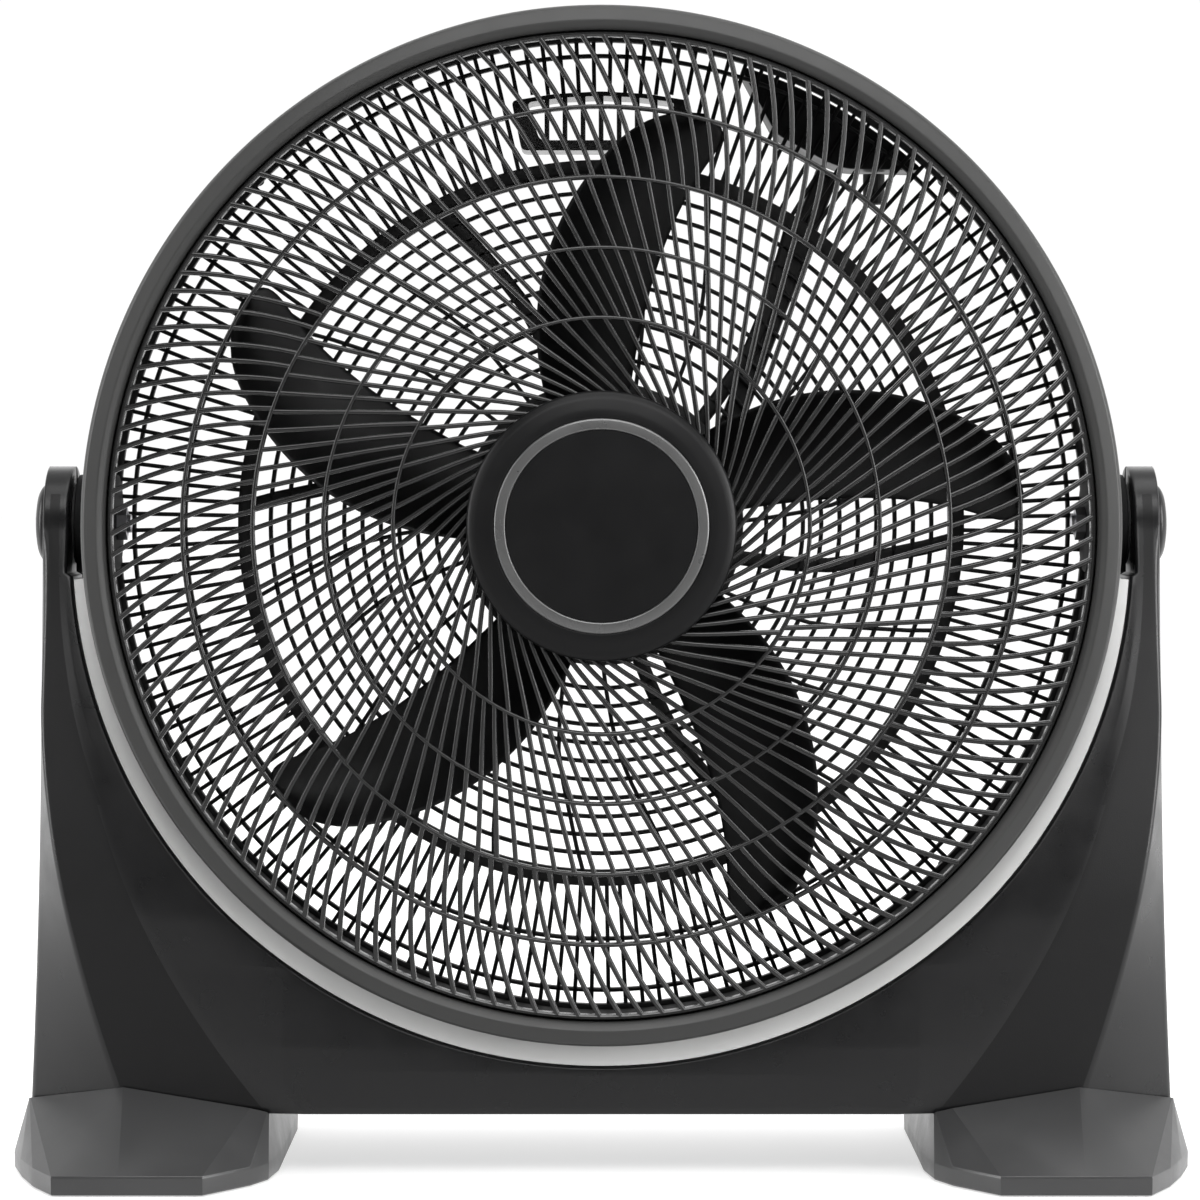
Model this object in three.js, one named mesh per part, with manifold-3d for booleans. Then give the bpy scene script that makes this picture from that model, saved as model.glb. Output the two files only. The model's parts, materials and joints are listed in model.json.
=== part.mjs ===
// A 50 cm round floor fan: a drum-shaped head hung by two side pivots in a U-shaped cradle stand.
// Millimetres, +Z up, front towards -Y. The origin is on the floor, under the middle of the fan.
// The head is modelled about the point where the fan axis (Y) meets the tilt axis (X), and is then
// lifted to axisHeight. The stand is modelled about the same point, so the two always agree.

import * as THREE from 'three';
import { ConvexGeometry } from 'three/addons/geometries/ConvexGeometry.js';
import { mergeVertices } from 'three/addons/utils/BufferGeometryUtils.js';
import Module from 'manifold-3d';

const wasm = await Module();
wasm.setup();

// Driving dimensions
const axisHeight = 341; // fan axis and tilt axis above the floor
const gap = 0.3; // clearance between neighbouring pieces
const bezelRadius = 270.3; // outside of the bright bezel
const bezelFront = -99; // foremost edge of the bezel
const drumRadius = 268.5;
const drumWall = 2.5;
const drumFront = -89.5;
const drumBack = 18;
const hubRadius = 70; // disc in the middle of the front grille
const bladeRadius = 223.5;
const bladeCount = 5;
const shaftRadius = 4;
const motorRadius = 46;
const plateFront = drumBack + 1.3; // rear grille, front face
const plateThick = 5;
const plateBack = plateFront + plateThick;
const cradleRadius = 283; // concave seat of the stand
const armInside = 284.8; // inner face of each arm
const armOutside = 299;
const armRound = 31; // radius of the arm's round top
const shellWall = 3;
const bossRadius = 26.5;
const boltRadius = 5;
const standBottom = 33 - axisHeight; // lower edge of the stand, from the axis
const floor = -axisHeight;

// Finishes
const charcoal = { color: 0x2b2b2d, roughness: 0.5, metalness: 0 };
const black = { color: 0x161617, roughness: 0.45, metalness: 0 };
const silver = { color: 0x9a9a9c, roughness: 0.35, metalness: 0.6 };
const gunmetal = { color: 0x6e6e70, roughness: 0.38, metalness: 0.5 };
const steel = { color: 0xb4b4b8, roughness: 0.3, metalness: 0.9 };
const aluminium = { color: 0x9fa2a6, roughness: 0.5, metalness: 0.8 };
const copper = { color: 0x9c5a32, roughness: 0.4, metalness: 0.8 };
const rubber = { color: 0x101010, roughness: 0.9, metalness: 0 };
const brass = { color: 0xb08d4a, roughness: 0.4, metalness: 0.8 };

// Solids and booleans

function signedVolume(geometry) {
  const position = geometry.getAttribute('position');
  const index = geometry.getIndex();
  const corner = [new THREE.Vector3(), new THREE.Vector3(), new THREE.Vector3()];
  let volume = 0;
  for (let i = 0; i < index.count; i += 3) {
    corner.forEach((point, k) => point.fromBufferAttribute(position, index.getX(i + k)));
    volume += corner[0].dot(corner[1].cross(corner[2])) / 6;
  }
  return volume;
}

function solid(geometry) {
  const bare = geometry.clone();
  bare.deleteAttribute('normal');
  bare.deleteAttribute('uv');
  const merged = mergeVertices(bare, 1e-4);
  const triVerts = new Uint32Array(merged.getIndex().array);
  if (signedVolume(merged) < 0) {
    for (let i = 0; i < triVerts.length; i += 3) {
      [triVerts[i], triVerts[i + 1]] = [triVerts[i + 1], triVerts[i]];
    }
  }
  const vertProperties = new Float32Array(merged.getAttribute('position').array);
  return new wasm.Manifold(new wasm.Mesh({ numProp: 3, vertProperties, triVerts }));
}

function geometryOf(shape) {
  const mesh = shape.getMesh();
  const geometry = new THREE.BufferGeometry();
  geometry.setAttribute('position', new THREE.BufferAttribute(mesh.vertProperties, 3));
  geometry.setIndex(new THREE.BufferAttribute(mesh.triVerts, 1));
  return geometry;
}

function join(...shapes) {
  return shapes.reduce((whole, shape) => whole.add(shape));
}

function cut(shape, ...tools) {
  return tools.reduce((whole, tool) => whole.subtract(tool), shape);
}

// A solid of revolution about the fan axis, from a closed loop of [radius, y] corners.
function turned(profile, segments = 24) {
  const points = profile.map(([radius, y]) => new THREE.Vector2(radius, y));
  const startsOnAxis = profile[0][0] === 0;
  if (!startsOnAxis) {
    points.push(points[0].clone());
  }
  return solid(new THREE.LatheGeometry(points, segments));
}

function annulus(inner, outer, from, to, segments = 24) {
  return turned([[inner, from], [outer, from], [outer, to], [inner, to]], segments);
}

// A cylinder between two places on an axis: 'x', 'y' or 'z'.
function rod(axis, radius, from, to, segments = 24) {
  const geometry = new THREE.CylinderGeometry(radius, radius, Math.abs(to - from), segments);
  if (axis === 'x') geometry.rotateZ(Math.PI / 2);
  if (axis === 'z') geometry.rotateX(Math.PI / 2);
  const middle = new THREE.Vector3();
  middle[axis] = (from + to) / 2;
  geometry.translate(middle.x, middle.y, middle.z);
  return solid(geometry);
}

function block(low, high) {
  const size = high.map((value, k) => value - low[k]);
  const geometry = new THREE.BoxGeometry(...size);
  geometry.translate(...high.map((value, k) => (value + low[k]) / 2));
  return solid(geometry);
}

// A flat outline of [x, z] corners, given thickness from one y to another.
function plateOf(outline, from, to) {
  const shape = new THREE.Shape(outline.map(([x, z]) => new THREE.Vector2(x, z)));
  const geometry = new THREE.ExtrudeGeometry(shape, { depth: to - from, bevelEnabled: false });
  geometry.rotateX(Math.PI / 2);
  geometry.translate(0, to, 0);
  return solid(geometry);
}

// A smooth stack of convex plan outlines, each { z, outline: [x, y] corners }.
function lofted(levels) {
  const corners = levels[0].outline.length;
  const positions = levels.flatMap(({ z, outline }) => outline.flatMap(([x, y]) => [x, y, z]));
  const index = [];
  for (let level = 0; level < levels.length - 1; level += 1) {
    for (let k = 0; k < corners; k += 1) {
      const next = (k + 1) % corners;
      const [a, b] = [level * corners + k, level * corners + next];
      index.push(a, b, b + corners, a, b + corners, a + corners);
    }
  }
  const top = (levels.length - 1) * corners;
  for (let k = 1; k < corners - 1; k += 1) {
    index.push(0, k + 1, k, top, top + k, top + k + 1);
  }
  const geometry = new THREE.BufferGeometry();
  geometry.setAttribute('position', new THREE.Float32BufferAttribute(positions, 3));
  geometry.setIndex(index);
  return solid(geometry);
}

function hull(points) {
  return solid(new ConvexGeometry(points.map((point) => new THREE.Vector3(...point))));
}

function moved(shape, x, y, z) {
  return shape.translate([x, y, z]);
}

function polar(radius, degrees) {
  const angle = THREE.MathUtils.degToRad(degrees);
  return [radius * Math.cos(angle), radius * Math.sin(angle)];
}

const fan = new THREE.Group();
const head = new THREE.Group();
const stand = new THREE.Group();
head.position.z = axisHeight;
stand.position.z = axisHeight;
fan.add(head, stand);

function piece(group, name, shape, finish) {
  const mesh = new THREE.Mesh(geometryOf(shape), new THREE.MeshStandardMaterial(finish));
  mesh.name = name;
  group.add(mesh);
}

// Front grille: a shallow dome of spiral ribs and rings between the hub plate and the rim.
const grilleRibs = 10;
const grilleRings = [144, 217];
const ribTwist = Math.tan(THREE.MathUtils.degToRad(25)); // tangent of a rib's angle from the radius

function domeY(radius) {
  const outward = THREE.MathUtils.clamp((radius - hubRadius) / 186, 0, 1);
  return -107 + 10 * outward * outward;
}

function spiralRib(startAngle) {
  const [inner, outer, steps, halfWidth, depth] = [64, 256, 4, 1.6, 4];
  const positions = [];
  for (let k = 0; k <= steps; k += 1) {
    const radius = inner + (outer - inner) * k / steps;
    const angle = startAngle + ribTwist * Math.log(radius / inner);
    for (const [side, back] of [[-1, 0], [1, 0], [1, 1], [-1, 1]]) {
      const turn = angle + side * halfWidth / radius;
      positions.push(radius * Math.cos(turn), domeY(radius) + back * depth, radius * Math.sin(turn));
    }
  }
  const index = [0, 1, 2, 0, 2, 3];
  for (let k = 0; k < steps; k += 1) {
    for (let side = 0; side < 4; side += 1) {
      const [a, b] = [4 * k + side, 4 * k + (side + 1) % 4];
      index.push(a, a + 4, b + 4, a, b + 4, b);
    }
  }
  const last = 4 * steps;
  index.push(last, last + 2, last + 1, last, last + 3, last + 2);
  const geometry = new THREE.BufferGeometry();
  geometry.setAttribute('position', new THREE.Float32BufferAttribute(positions, 3));
  geometry.setIndex(index);
  return solid(geometry);
}

function frontGrille() {
  const rings = grilleRings.map((radius) => {
    const front = domeY(radius) - 0.2;
    return annulus(radius - 1.6, radius + 1.6, front, front + 4.4, 36);
  });
  const rim = turned([
    [253, -98], [256.4, -97.4], [256.4, -93], [265.4, -91.4], [265.4, -88.5], [253.6, -90.8],
  ], 60);
  const hubPlate = annulus(20, 68, -107.4, -102.6, 36);
  const ribs = [...Array(grilleRibs).keys()].map((k) => spiralRib(2 * Math.PI * k / grilleRibs));
  return join(rim, hubPlate, ...rings, ...ribs);
}

piece(head, 'front_grille', frontGrille(), charcoal);

piece(head, 'hub_badge', cut(
  turned([
    [0, -115], [58, -114], [68.5, -111], [hubRadius, -108.2], [67.5, -108.2], [57, -111.4], [0, -112.2],
  ], 32),
  annulus(49.3, 55.3, -116, -113.3, 32),
), charcoal);

piece(head, 'hub_accent_ring', annulus(49.6, 55, -114.6, -113.5, 32), gunmetal);

// Bezel: a ridged band that slopes in to the grille and turns outwards and back over the drum.
piece(head, 'trim_ring', turned([
  [256.8, -95.8], [261.7, bezelFront], [267.6, -97], [bezelRadius, -92], [bezelRadius, -78],
  [drumRadius + gap, -78], [drumRadius + gap, -90], [265.8, -92.2], [256.8, -93.8],
], 60), gunmetal);

// Drum with a bolt hole on each side.
piece(head, 'drum', cut(
  annulus(drumRadius - drumWall, drumRadius, drumFront, drumBack, 60),
  rod('x', boltRadius + 0.6, -drumRadius - 5, drumRadius + 5, 16),
), charcoal);

// Pivots of the head: a round boss on each side of the drum.
for (const [side, name] of [[-1, 'left'], [1, 'right']]) {
  piece(head, `pivot_boss_${name}`, cut(
    rod('x', bossRadius, side * 262, side * (cradleRadius - 0.2), 32),
    rod('y', drumRadius + gap, -60, 60, 144),
    rod('x', boltRadius + 0.5, side * 255, side * 290, 16),
  ), charcoal);
}

// Carry handle: a tapered frame at the top of the rear grille, open at the back for the fingers,
// with upright guard bars between them and the blades.
const handleOuter = [
  [-43.4, 203.5], [43.4, 203.5], [49, 230.6], [25, 234.4], [0, 235.8], [-25, 234.4], [-49, 230.6],
];
const handleInner = [
  [-33.5, 209], [33.5, 209], [40.5, 229.6], [20, 232.3], [0, 233.2], [-20, 232.3], [-40.5, 229.6],
];
const handleFront = 12;
const handleBack = 42;
const guardBars = 7;
const guardPitch = 9.85;

function grown(outline, centre, by) {
  return outline.map(([x, z]) => [x + Math.sign(x) * by, z + Math.sign(z - centre) * by]);
}

function carryHandle() {
  const frame = cut(
    plateOf(handleOuter, handleFront, handleBack),
    plateOf(handleInner, handleFront - 1, handleBack + 1),
  );
  const bars = [...Array(guardBars).keys()].map((k) => {
    const x = (k - (guardBars - 1) / 2) * guardPitch;
    return block([x - 1.35, handleFront, 208], [x + 1.35, handleFront + 3, 234.6 - x * x / 470]);
  });
  return join(frame, ...bars);
}

piece(head, 'carry_handle', carryHandle(), charcoal);

// Rear grille: centre plate, thick ring, two rings and a rim, with six struts and thin ribs between.
const thickRing = [193.5, 198.4];
const strutAngles = [57, 117, 177, 237, 297, 357];
const strutSweep = 8; // a strut leans this many degrees anticlockwise from the plate to the ring

function bar(innerRadius, innerAngle, outerRadius, outerAngle, width, from, to) {
  const [x0, z0] = polar(innerRadius, innerAngle);
  const [x1, z1] = polar(outerRadius, outerAngle);
  const length = Math.hypot(x1 - x0, z1 - z0);
  const [dx, dz] = [-(z1 - z0) * width / 2 / length, (x1 - x0) * width / 2 / length];
  const outline = [[x0 - dx, z0 - dz], [x1 - dx, z1 - dz], [x1 + dx, z1 + dz], [x0 + dx, z0 + dz]];
  return plateOf(outline, from, to);
}

function rearGrille() {
  const rings = [[34, 78], [134, 137], thickRing, [264, drumRadius]].map(([inner, outer]) => (
    annulus(inner, outer, plateFront, plateBack, outer > 100 ? 60 : 30)
  ));
  const struts = strutAngles.map((angle) => (
    bar(74, angle - strutSweep, 196, angle, 9, plateFront, plateBack)
  ));
  const outerBars = [...Array(12).keys()].map((k) => (
    bar(196, 30 * k, 266, 30 * k, 4, plateFront + 0.4, plateBack - 0.4)
  ));
  const innerBars = strutAngles.map((angle) => (
    bar(76, angle + 30 - strutSweep, 196, angle + 30, 3, plateFront + 0.4, plateBack - 0.4)
  ));
  const grille = join(...rings, ...struts, ...outerBars, ...innerBars);
  const handleHole = plateOf(grown(handleOuter, 220, gap), plateFront - 2, plateBack + 2);
  const motorHoles = [90, 210, 330].map((angle) => {
    const [x, z] = polar(39, angle);
    return moved(rod('y', 2.5, plateFront - 2, plateBack + 2, 12), x, 0, z);
  });
  return cut(grille, handleHole, ...motorHoles);
}

piece(head, 'rear_grille', rearGrille(), black);

// Screws that hold the rear grille's rim: their heads sit against the back of the rim.
for (const [k, angle] of [45, 135, 225, 315].entries()) {
  const [x, z] = polar(265.6, angle);
  const screw = moved(rod('y', 2.4, plateBack + gap, plateBack + 2.8, 12), x, 0, z);
  piece(head, `grille_screw_${k + 1}`, screw, steel);
}

// Control housing: an arc-backed box behind the upper right of the rear grille, with its cover.
const housingFront = plateBack + gap;
const housingBack = 58;
const knobCentre = polar(246.5, 60.5);

function housingOutline(inset) {
  const arcRadius = 262.5 - inset;
  const [startTrim, endTrim] = [47.5 + inset * 0.28, 73.2 - inset * 0.28];
  const arc = [...Array(9).keys()].map((k) => polar(arcRadius, startTrim + (endTrim - startTrim) * k / 8));
  const floorCorners = [[96 + inset * 0.5, 213.5 + inset], [123, 198.8 + inset], [134, 194.4 + inset]];
  return [...arc, ...floorCorners];
}

piece(head, 'control_housing', cut(
  plateOf(housingOutline(0), housingFront, housingBack),
  plateOf(housingOutline(2.5), housingFront + 2.5, housingBack + 1),
), black);

piece(head, 'control_cover', cut(
  plateOf(housingOutline(0), housingBack + gap, housingBack + 3),
  moved(rod('y', 3.6, housingBack - 2, housingBack + 6, 20), knobCentre[0], 0, knobCentre[1]),
), black);

piece(head, 'rotary_switch', cut(
  moved(block([-7.5, 36, -7.5], [7.5, 55, 7.5]), knobCentre[0], 0, knobCentre[1]),
  moved(rod('y', 3.4, 40, 56, 20), knobCentre[0], 0, knobCentre[1]),
), brass);

piece(head, 'switch_spindle', moved(rod('y', 3, 41, 72, 20), knobCentre[0], 0, knobCentre[1]), steel);

function speedKnob() {
  const skirt = turned([[0, 62], [13, 62], [13, 64.5], [11.5, 66], [10.5, 76], [9.5, 77], [0, 77]], 20);
  const finger = block([-2.2, 66, -13], [2.2, 79.5, 13]);
  return cut(join(skirt, finger), rod('y', 3.4, 61, 73, 16));
}

piece(head, 'speed_knob', moved(speedKnob(), knobCentre[0], 0, knobCentre[1]), charcoal);

// Wire duct from the motor cover to the control housing, and the inlet gland of the mains lead.
const coverRadius = 74;
const ductStart = [65.9, 40.2];
const ductEnd = [125.2, 194.2];

function wireDuct() {
  const [x0, z0] = ductStart;
  const [x1, z1] = ductEnd;
  const length = Math.hypot(x1 - x0, z1 - z0);
  const [dx, dz] = [(z1 - z0) / length, -(x1 - x0) / length];
  const strip = (half, from, to) => plateOf([
    [x0 - dx * half, z0 - dz * half], [x0 + dx * half, z0 + dz * half],
    [x1 + dx * half, z1 + dz * half], [x1 - dx * half, z1 - dz * half],
  ], from, to);
  const channel = cut(strip(6.5, plateBack + gap, 36), strip(4.5, plateBack, 34));
  return cut(
    channel,
    rod('y', coverRadius + gap, 10, 70, 64),
    plateOf(grown(housingOutline(0), 225, 0).map(([x, z]) => [x, z - gap * 2]), 10, 70),
  );
}

piece(head, 'wire_duct', wireDuct(), black);

piece(head, 'cord_gland', moved(cut(
  rod('z', 6, 177, 193.4, 20),
  rod('z', 3.6, 176, 194, 16),
), 151, 42, -0.8), rubber);

// Motor: two bells around a stator with its windings; the rear bell is screwed to the rear grille.
piece(head, 'motor_front_bell', turned([
  [9.4, -28], [13, -28], [13, -24], [motorRadius - 4, -24], [motorRadius, -20], [motorRadius, 0.85],
  [43.2, 0.85], [43.2, -19], [40.5, -21.5], [9.4, -21.5],
], 24), aluminium);

const bellHoles = [90, 210, 330].map((angle) => {
  const [x, z] = polar(39, angle);
  return moved(rod('y', 2.5, 14, 22, 12), x, 0, z);
});

piece(head, 'motor_rear_bell', cut(turned([
  [43.2, 1.15], [motorRadius, 1.15], [motorRadius, plateFront - gap], [13, plateFront - gap],
  [13, 31], [9.4, 31], [9.4, 16.5], [43.2, 16.5],
], 24), ...bellHoles), aluminium);

piece(head, 'stator', annulus(25.7, 42.6, -6, 8, 24), steel);
piece(head, 'front_winding', annulus(28, 40, -15, -6.3, 24), copper);
piece(head, 'rear_winding', annulus(28, 36, 8.3, 15, 24), copper);
piece(head, 'front_bearing', annulus(shaftRadius + 0.35, 9, -27.5, -22, 20), steel);
piece(head, 'rear_bearing', annulus(shaftRadius + 0.35, 9, 20.5, 28.5, 20), steel);

for (const [k, angle] of [90, 210, 330].entries()) {
  const [x, z] = polar(39, angle);
  const screw = join(rod('y', 2.1, 17, 26, 12), rod('y', 4, plateBack + gap, plateBack + 3, 12));
  piece(head, `motor_screw_${k + 1}`, moved(screw, x, 0, z), steel);
}

piece(head, 'motor_cover', turned([
  [0, 66], [38, 65], [60, 60], [70, 50], [coverRadius, plateBack + gap],
  [71.4, plateBack + gap], [67.6, 49], [58.6, 57.8], [37.5, 62.5], [0, 63.4],
], 32), black);

piece(head, 'capacitor', moved(rod('x', 8, -18, 18, 20), 0, 44, 26), steel);

// Blade set: five swept blades on a hub, pinned to the shaft and held by a nut.
// Each blade is a thin sheet between a leading and a trailing edge, both swept clockwise.
const bladeHub = 38;
const bladeSheet = { root: 34, tip: bladeRadius, thick: 2.4, steps: 7, chordSteps: 2, rise: 34 };

// Leading and trailing edge angles in degrees against the share s of the way from root to tip.
function bladeEdges(s) {
  const tipRound = Math.sqrt(Math.max(0, 1 - ((s - 0.86) / 0.17) ** 2));
  const rounding = s > 0.86 ? tipRound : 1;
  const middle = 26 - 4 * s - 17.5 * s * s;
  const half = (21 - 12.5 * s) * rounding + 0.8;
  return [middle - half, middle + half];
}

function bladeSolid(startAngle) {
  const { root, tip, thick, steps, chordSteps, rise } = bladeSheet;
  const rows = steps + 1;
  const columns = chordSteps + 1;
  const positions = [];
  for (const back of [0, 1]) {
    for (let i = 0; i < rows; i += 1) {
      const s = i / steps;
      const radius = root + (tip - root) * s;
      const [leading, trailing] = bladeEdges(s);
      for (let j = 0; j < columns; j += 1) {
        const across = j / chordSteps;
        const [x, z] = polar(radius, startAngle + leading + (trailing - leading) * across);
        const lift = rise * (1 - 0.35 * s) * (0.5 - across) + 5 * Math.sin(Math.PI * across);
        positions.push(x, -52 + lift + back * thick, z);
      }
    }
  }
  const at = (back, i, j) => back * rows * columns + i * columns + j;
  const index = [];
  const quad = (a, b, c, d) => index.push(a, b, c, a, c, d);
  for (let i = 0; i < steps; i += 1) {
    for (let j = 0; j < chordSteps; j += 1) {
      quad(at(0, i, j), at(0, i + 1, j), at(0, i + 1, j + 1), at(0, i, j + 1));
      quad(at(1, i, j), at(1, i, j + 1), at(1, i + 1, j + 1), at(1, i + 1, j));
    }
    quad(at(0, i, 0), at(1, i, 0), at(1, i + 1, 0), at(0, i + 1, 0));
    quad(at(0, i, chordSteps), at(0, i + 1, chordSteps), at(1, i + 1, chordSteps), at(1, i, chordSteps));
  }
  for (let j = 0; j < chordSteps; j += 1) {
    quad(at(0, 0, j), at(0, 0, j + 1), at(1, 0, j + 1), at(1, 0, j));
    quad(at(0, steps, j), at(1, steps, j), at(1, steps, j + 1), at(0, steps, j + 1));
  }
  const geometry = new THREE.BufferGeometry();
  geometry.setAttribute('position', new THREE.Float32BufferAttribute(positions, 3));
  geometry.setIndex(index);
  return solid(geometry);
}

function fanBlade() {
  const hub = turned([
    [4.35, -74], [20, -74], [33, -72], [bladeHub, -66], [bladeHub, -36],
    [bladeHub - 3, -36], [bladeHub - 3, -64], [12, -69], [12, -40], [4.35, -40],
  ], 30);
  const blades = [...Array(bladeCount).keys()].map((k) => bladeSolid(360 * k / bladeCount));
  const inside = rod('y', bladeHub - 2.8, -64, -30, 30);
  const trimmed = cut(join(...blades), inside);
  const pinSlot = block([-14, -44, -1.9], [14, -39, 1.9]);
  return cut(join(hub, trimmed), pinSlot);
}

piece(head, 'fan_blade', fanBlade(), black);
const pinDepth = -41.6;
piece(head, 'motor_shaft', cut(
  rod('y', shaftRadius, -80, 30, 24),
  moved(rod('x', 1.8, -6, 6, 10), 0, pinDepth, 0),
), steel);
piece(head, 'blade_pin', moved(rod('x', 1.5, -10, 10, 10), 0, pinDepth, 0), steel);
piece(head, 'blade_nut', cut(
  turned([[0, -92], [8, -91], [14, -87], [16, -80], [16, -74.3], [0, -74.3]], 16),
  rod('y', shaftRadius + gap, -81, -70, 16),
), charcoal);
piece(head, 'rotor', annulus(shaftRadius + gap, 25, -6, 8, 20), steel);

// Stand: a hollow U-shaped shell in two halves, front and rear, that meet on the plane y = 0.
// Each level gives half widths and half depths: side face, flank crease and front panel crease.
const standLevels = [
  { z: 33, side: [304.5, 34], flank: [250, 66], panel: [174, 76] },
  { z: 60, side: [304, 33], flank: [261, 67], panel: [205, 76] },
  { z: 118, side: [302, 32], flank: [277, 66], panel: [231, 76] },
  { z: 165, side: [300.5, 31.5], flank: [285, 64], panel: [248, 72.5] },
  { z: 212, side: [299.5, 31], flank: [291, 57], panel: [262, 65] },
  { z: 260, side: [299, 31], flank: [294.5, 46], panel: [274, 54] },
  { z: 300, side: [armOutside, 31], flank: [296.5, 36], panel: [284, 39] },
  { z: 374, side: [armOutside, 29.5], flank: [297, 31], panel: [285, 31.5] },
];

function standBody(inset, lowest) {
  const levels = standLevels.map(({ z, side, flank, panel }, k) => {
    const quarter = [side, flank, panel].map(([x, y]) => [x - inset, y - inset]);
    const reversed = [...quarter].reverse();
    const outline = [
      ...quarter, ...reversed.map(([x, y]) => [-x, y]),
      ...quarter.map(([x, y]) => [-x, -y]), ...reversed.map(([x, y]) => [x, -y]),
    ];
    return { z: (k === 0 ? lowest : z) - axisHeight, outline };
  });
  const body = lofted(levels);
  const top = join(rod('x', armRound - inset, -320, 320, 40), block([-320, -90, -330], [320, 90, 0]));
  return body.intersect(top);
}

function standSolid() {
  const seat = rod('y', cradleRadius, -100, 100, 80);
  const betweenArms = block([-armInside, -100, -27], [armInside, 100, 60]);
  const outside = cut(standBody(0, 33), seat, betweenArms);
  const hollow = cut(
    standBody(shellWall, 33 + shellWall),
    rod('y', cradleRadius + shellWall, -100, 100, 80),
    block([-armInside - shellWall, -100, -30], [armInside + shellWall, 100, 60]),
  );
  const posts = [-1, 1].map((side) => rod('x', 11, side * (armInside + 0.5), side * (armOutside - 0.5), 24));
  const belly = block([-168, -72, standBottom - 3], [168, 72, standBottom + 6]);
  const boltHole = rod('x', boltRadius + gap, -310, 310, 16);
  const screwHoles = footScrewPlaces.map(([x, y]) => (
    moved(rod('z', 2.7, standBottom - 4, standBottom + 8, 12), x, y, 0)
  ));
  return cut(join(cut(outside, hollow), ...posts), belly, boltHole, ...screwHoles);
}

const footScrewPlaces = [[-225, -45], [-225, 45], [225, -45], [225, 45]];
const standWhole = standSolid();
const frontHalf = block([-330, -120, -350], [330, -gap / 2, 60]);
const rearHalf = block([-330, gap / 2, -350], [330, 120, 60]);
piece(stand, 'stand_front_shell', standWhole.intersect(frontHalf), charcoal);
piece(stand, 'stand_rear_shell', standWhole.intersect(rearHalf), charcoal);

// Silver lining of the cradle seat with a flange along its front edge, just behind the bezel.
// It follows the stand's depth and stops below the pivots.
const flangeInside = 271.8;
const flangeThick = 3;

function cradleTrim() {
  const above = block([-320, -100, -29], [320, 100, 320]);
  const ring = (inner, from, to) => cut(
    rod('y', cradleRadius - gap, from, to, 80),
    rod('y', inner, -95, 95, 80),
    above,
  );
  const lining = ring(cradleRadius - 1.8, -90, 90).intersect(standBody(1.2, 20));
  const flange = ring(flangeInside, -90, -25).intersect(standBody(1.2, 20));
  return join(lining, cut(flange, standBody(1.2 + flangeThick, 20)));
}

piece(stand, 'cradle_trim', cradleTrim(), silver);

// Feet: hollow faceted wedges, highest under the stand and thin along the front and back edges.
const footPlan = [
  [205, 131], [276, 131], [289, 111], [300, 83], [308, 55], [311, 30],
  [175, 30], [175, 62], [178, 90], [187, 108],
];
const footTop = [[306, 35], [252, 70], [178, 80]];
const padPlaces = [[248, 106]];

function footSolid(side) {
  const corners = footPlan.flatMap(([x, y]) => [[x, y], [x, -y]]);
  const crown = footTop.flatMap(([x, y]) => [[x, y], [x, -y]]);
  const [low, edge, high] = [2, 10, 33 - gap];
  const outside = hull([
    ...corners.flatMap(([x, y]) => [[side * x, y, low], [side * x, y, edge]]),
    ...crown.map(([x, y]) => [side * x, y, high]),
  ]);
  const shrink = ([x, y], by) => [243 + (x - 243) * (1 - by), y * (1 - by)];
  const inside = hull([
    ...corners.map((corner) => shrink(corner, 0.055)).flatMap(([x, y]) => (
      [[side * x, y, low - 1], [side * x, y, edge - 3]]
    )),
    ...crown.map((corner) => shrink(corner, 0.06)).map(([x, y]) => [side * x, y, high - shellWall]),
  ]);
  const posts = padPlaces.flatMap(([x, y]) => [y, -y].map((depth) => (
    moved(rod('z', 10, low, high, 20), side * x, depth, 0)
  )));
  const screwHoles = [-45, 45].map((y) => moved(rod('z', 2.7, 20, 40, 12), side * 225, y, 0));
  return cut(join(cut(outside, inside), ...posts.map((post) => post.intersect(outside))), ...screwHoles);
}

for (const [side, name] of [[-1, 'left'], [1, 'right']]) {
  piece(stand, `foot_${name}`, moved(footSolid(side), 0, 0, floor), charcoal);
}

const padCentres = padPlaces.flatMap(([x, y]) => [[-x, -y], [-x, y], [x, -y], [x, y]]);
for (const [k, [x, y]] of padCentres.entries()) {
  piece(stand, `rubber_pad_${k + 1}`, moved(rod('z', 9, floor, floor + 2 - gap, 20), x, y, 0), rubber);
}

for (const [k, [x, y]] of footScrewPlaces.entries()) {
  const top = standBottom + 12;
  const screw = join(
    rod('z', 2.2, standBottom - shellWall - 2, top, 12),
    rod('z', 4.5, standBottom - shellWall - 3.6, standBottom - shellWall - 0.9, 12),
  );
  piece(stand, `foot_screw_${k + 1}`, moved(screw, x, y, 0), steel);
}

// Pivot hardware on each side: bolt through arm and boss, nut inside the drum, washer, domed cap.
for (const [side, name] of [[-1, 'left'], [1, 'right']]) {
  const along = (radius, from, to, segments) => rod('x', radius, side * from, side * to, segments);
  piece(stand, `pivot_bolt_${name}`, join(
    along(boltRadius, 255, armOutside + gap + 1, 20),
    along(9, armOutside + gap, armOutside + 3.6, 6),
  ), steel);
  piece(stand, `pivot_nut_${name}`, cut(along(9, 257, 264, 6), along(boltRadius + gap, 250, 270, 20)), steel);
  piece(stand, `friction_washer_${name}`, cut(
    along(22, cradleRadius + 0.1, armInside - gap, 20),
    along(boltRadius + gap, 280, 290, 12),
  ), rubber);
  const dome = turned([
    [0, 306], [14, 305], [20, 302.8], [21.3, armOutside + gap], [19.4, armOutside + gap],
    [18, 302], [13, 303.3], [0, 304],
  ], 28);
  piece(stand, `pivot_cap_${name}`, dome.rotate([0, 0, -90 * side]), charcoal);
}

export default fan;
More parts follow.
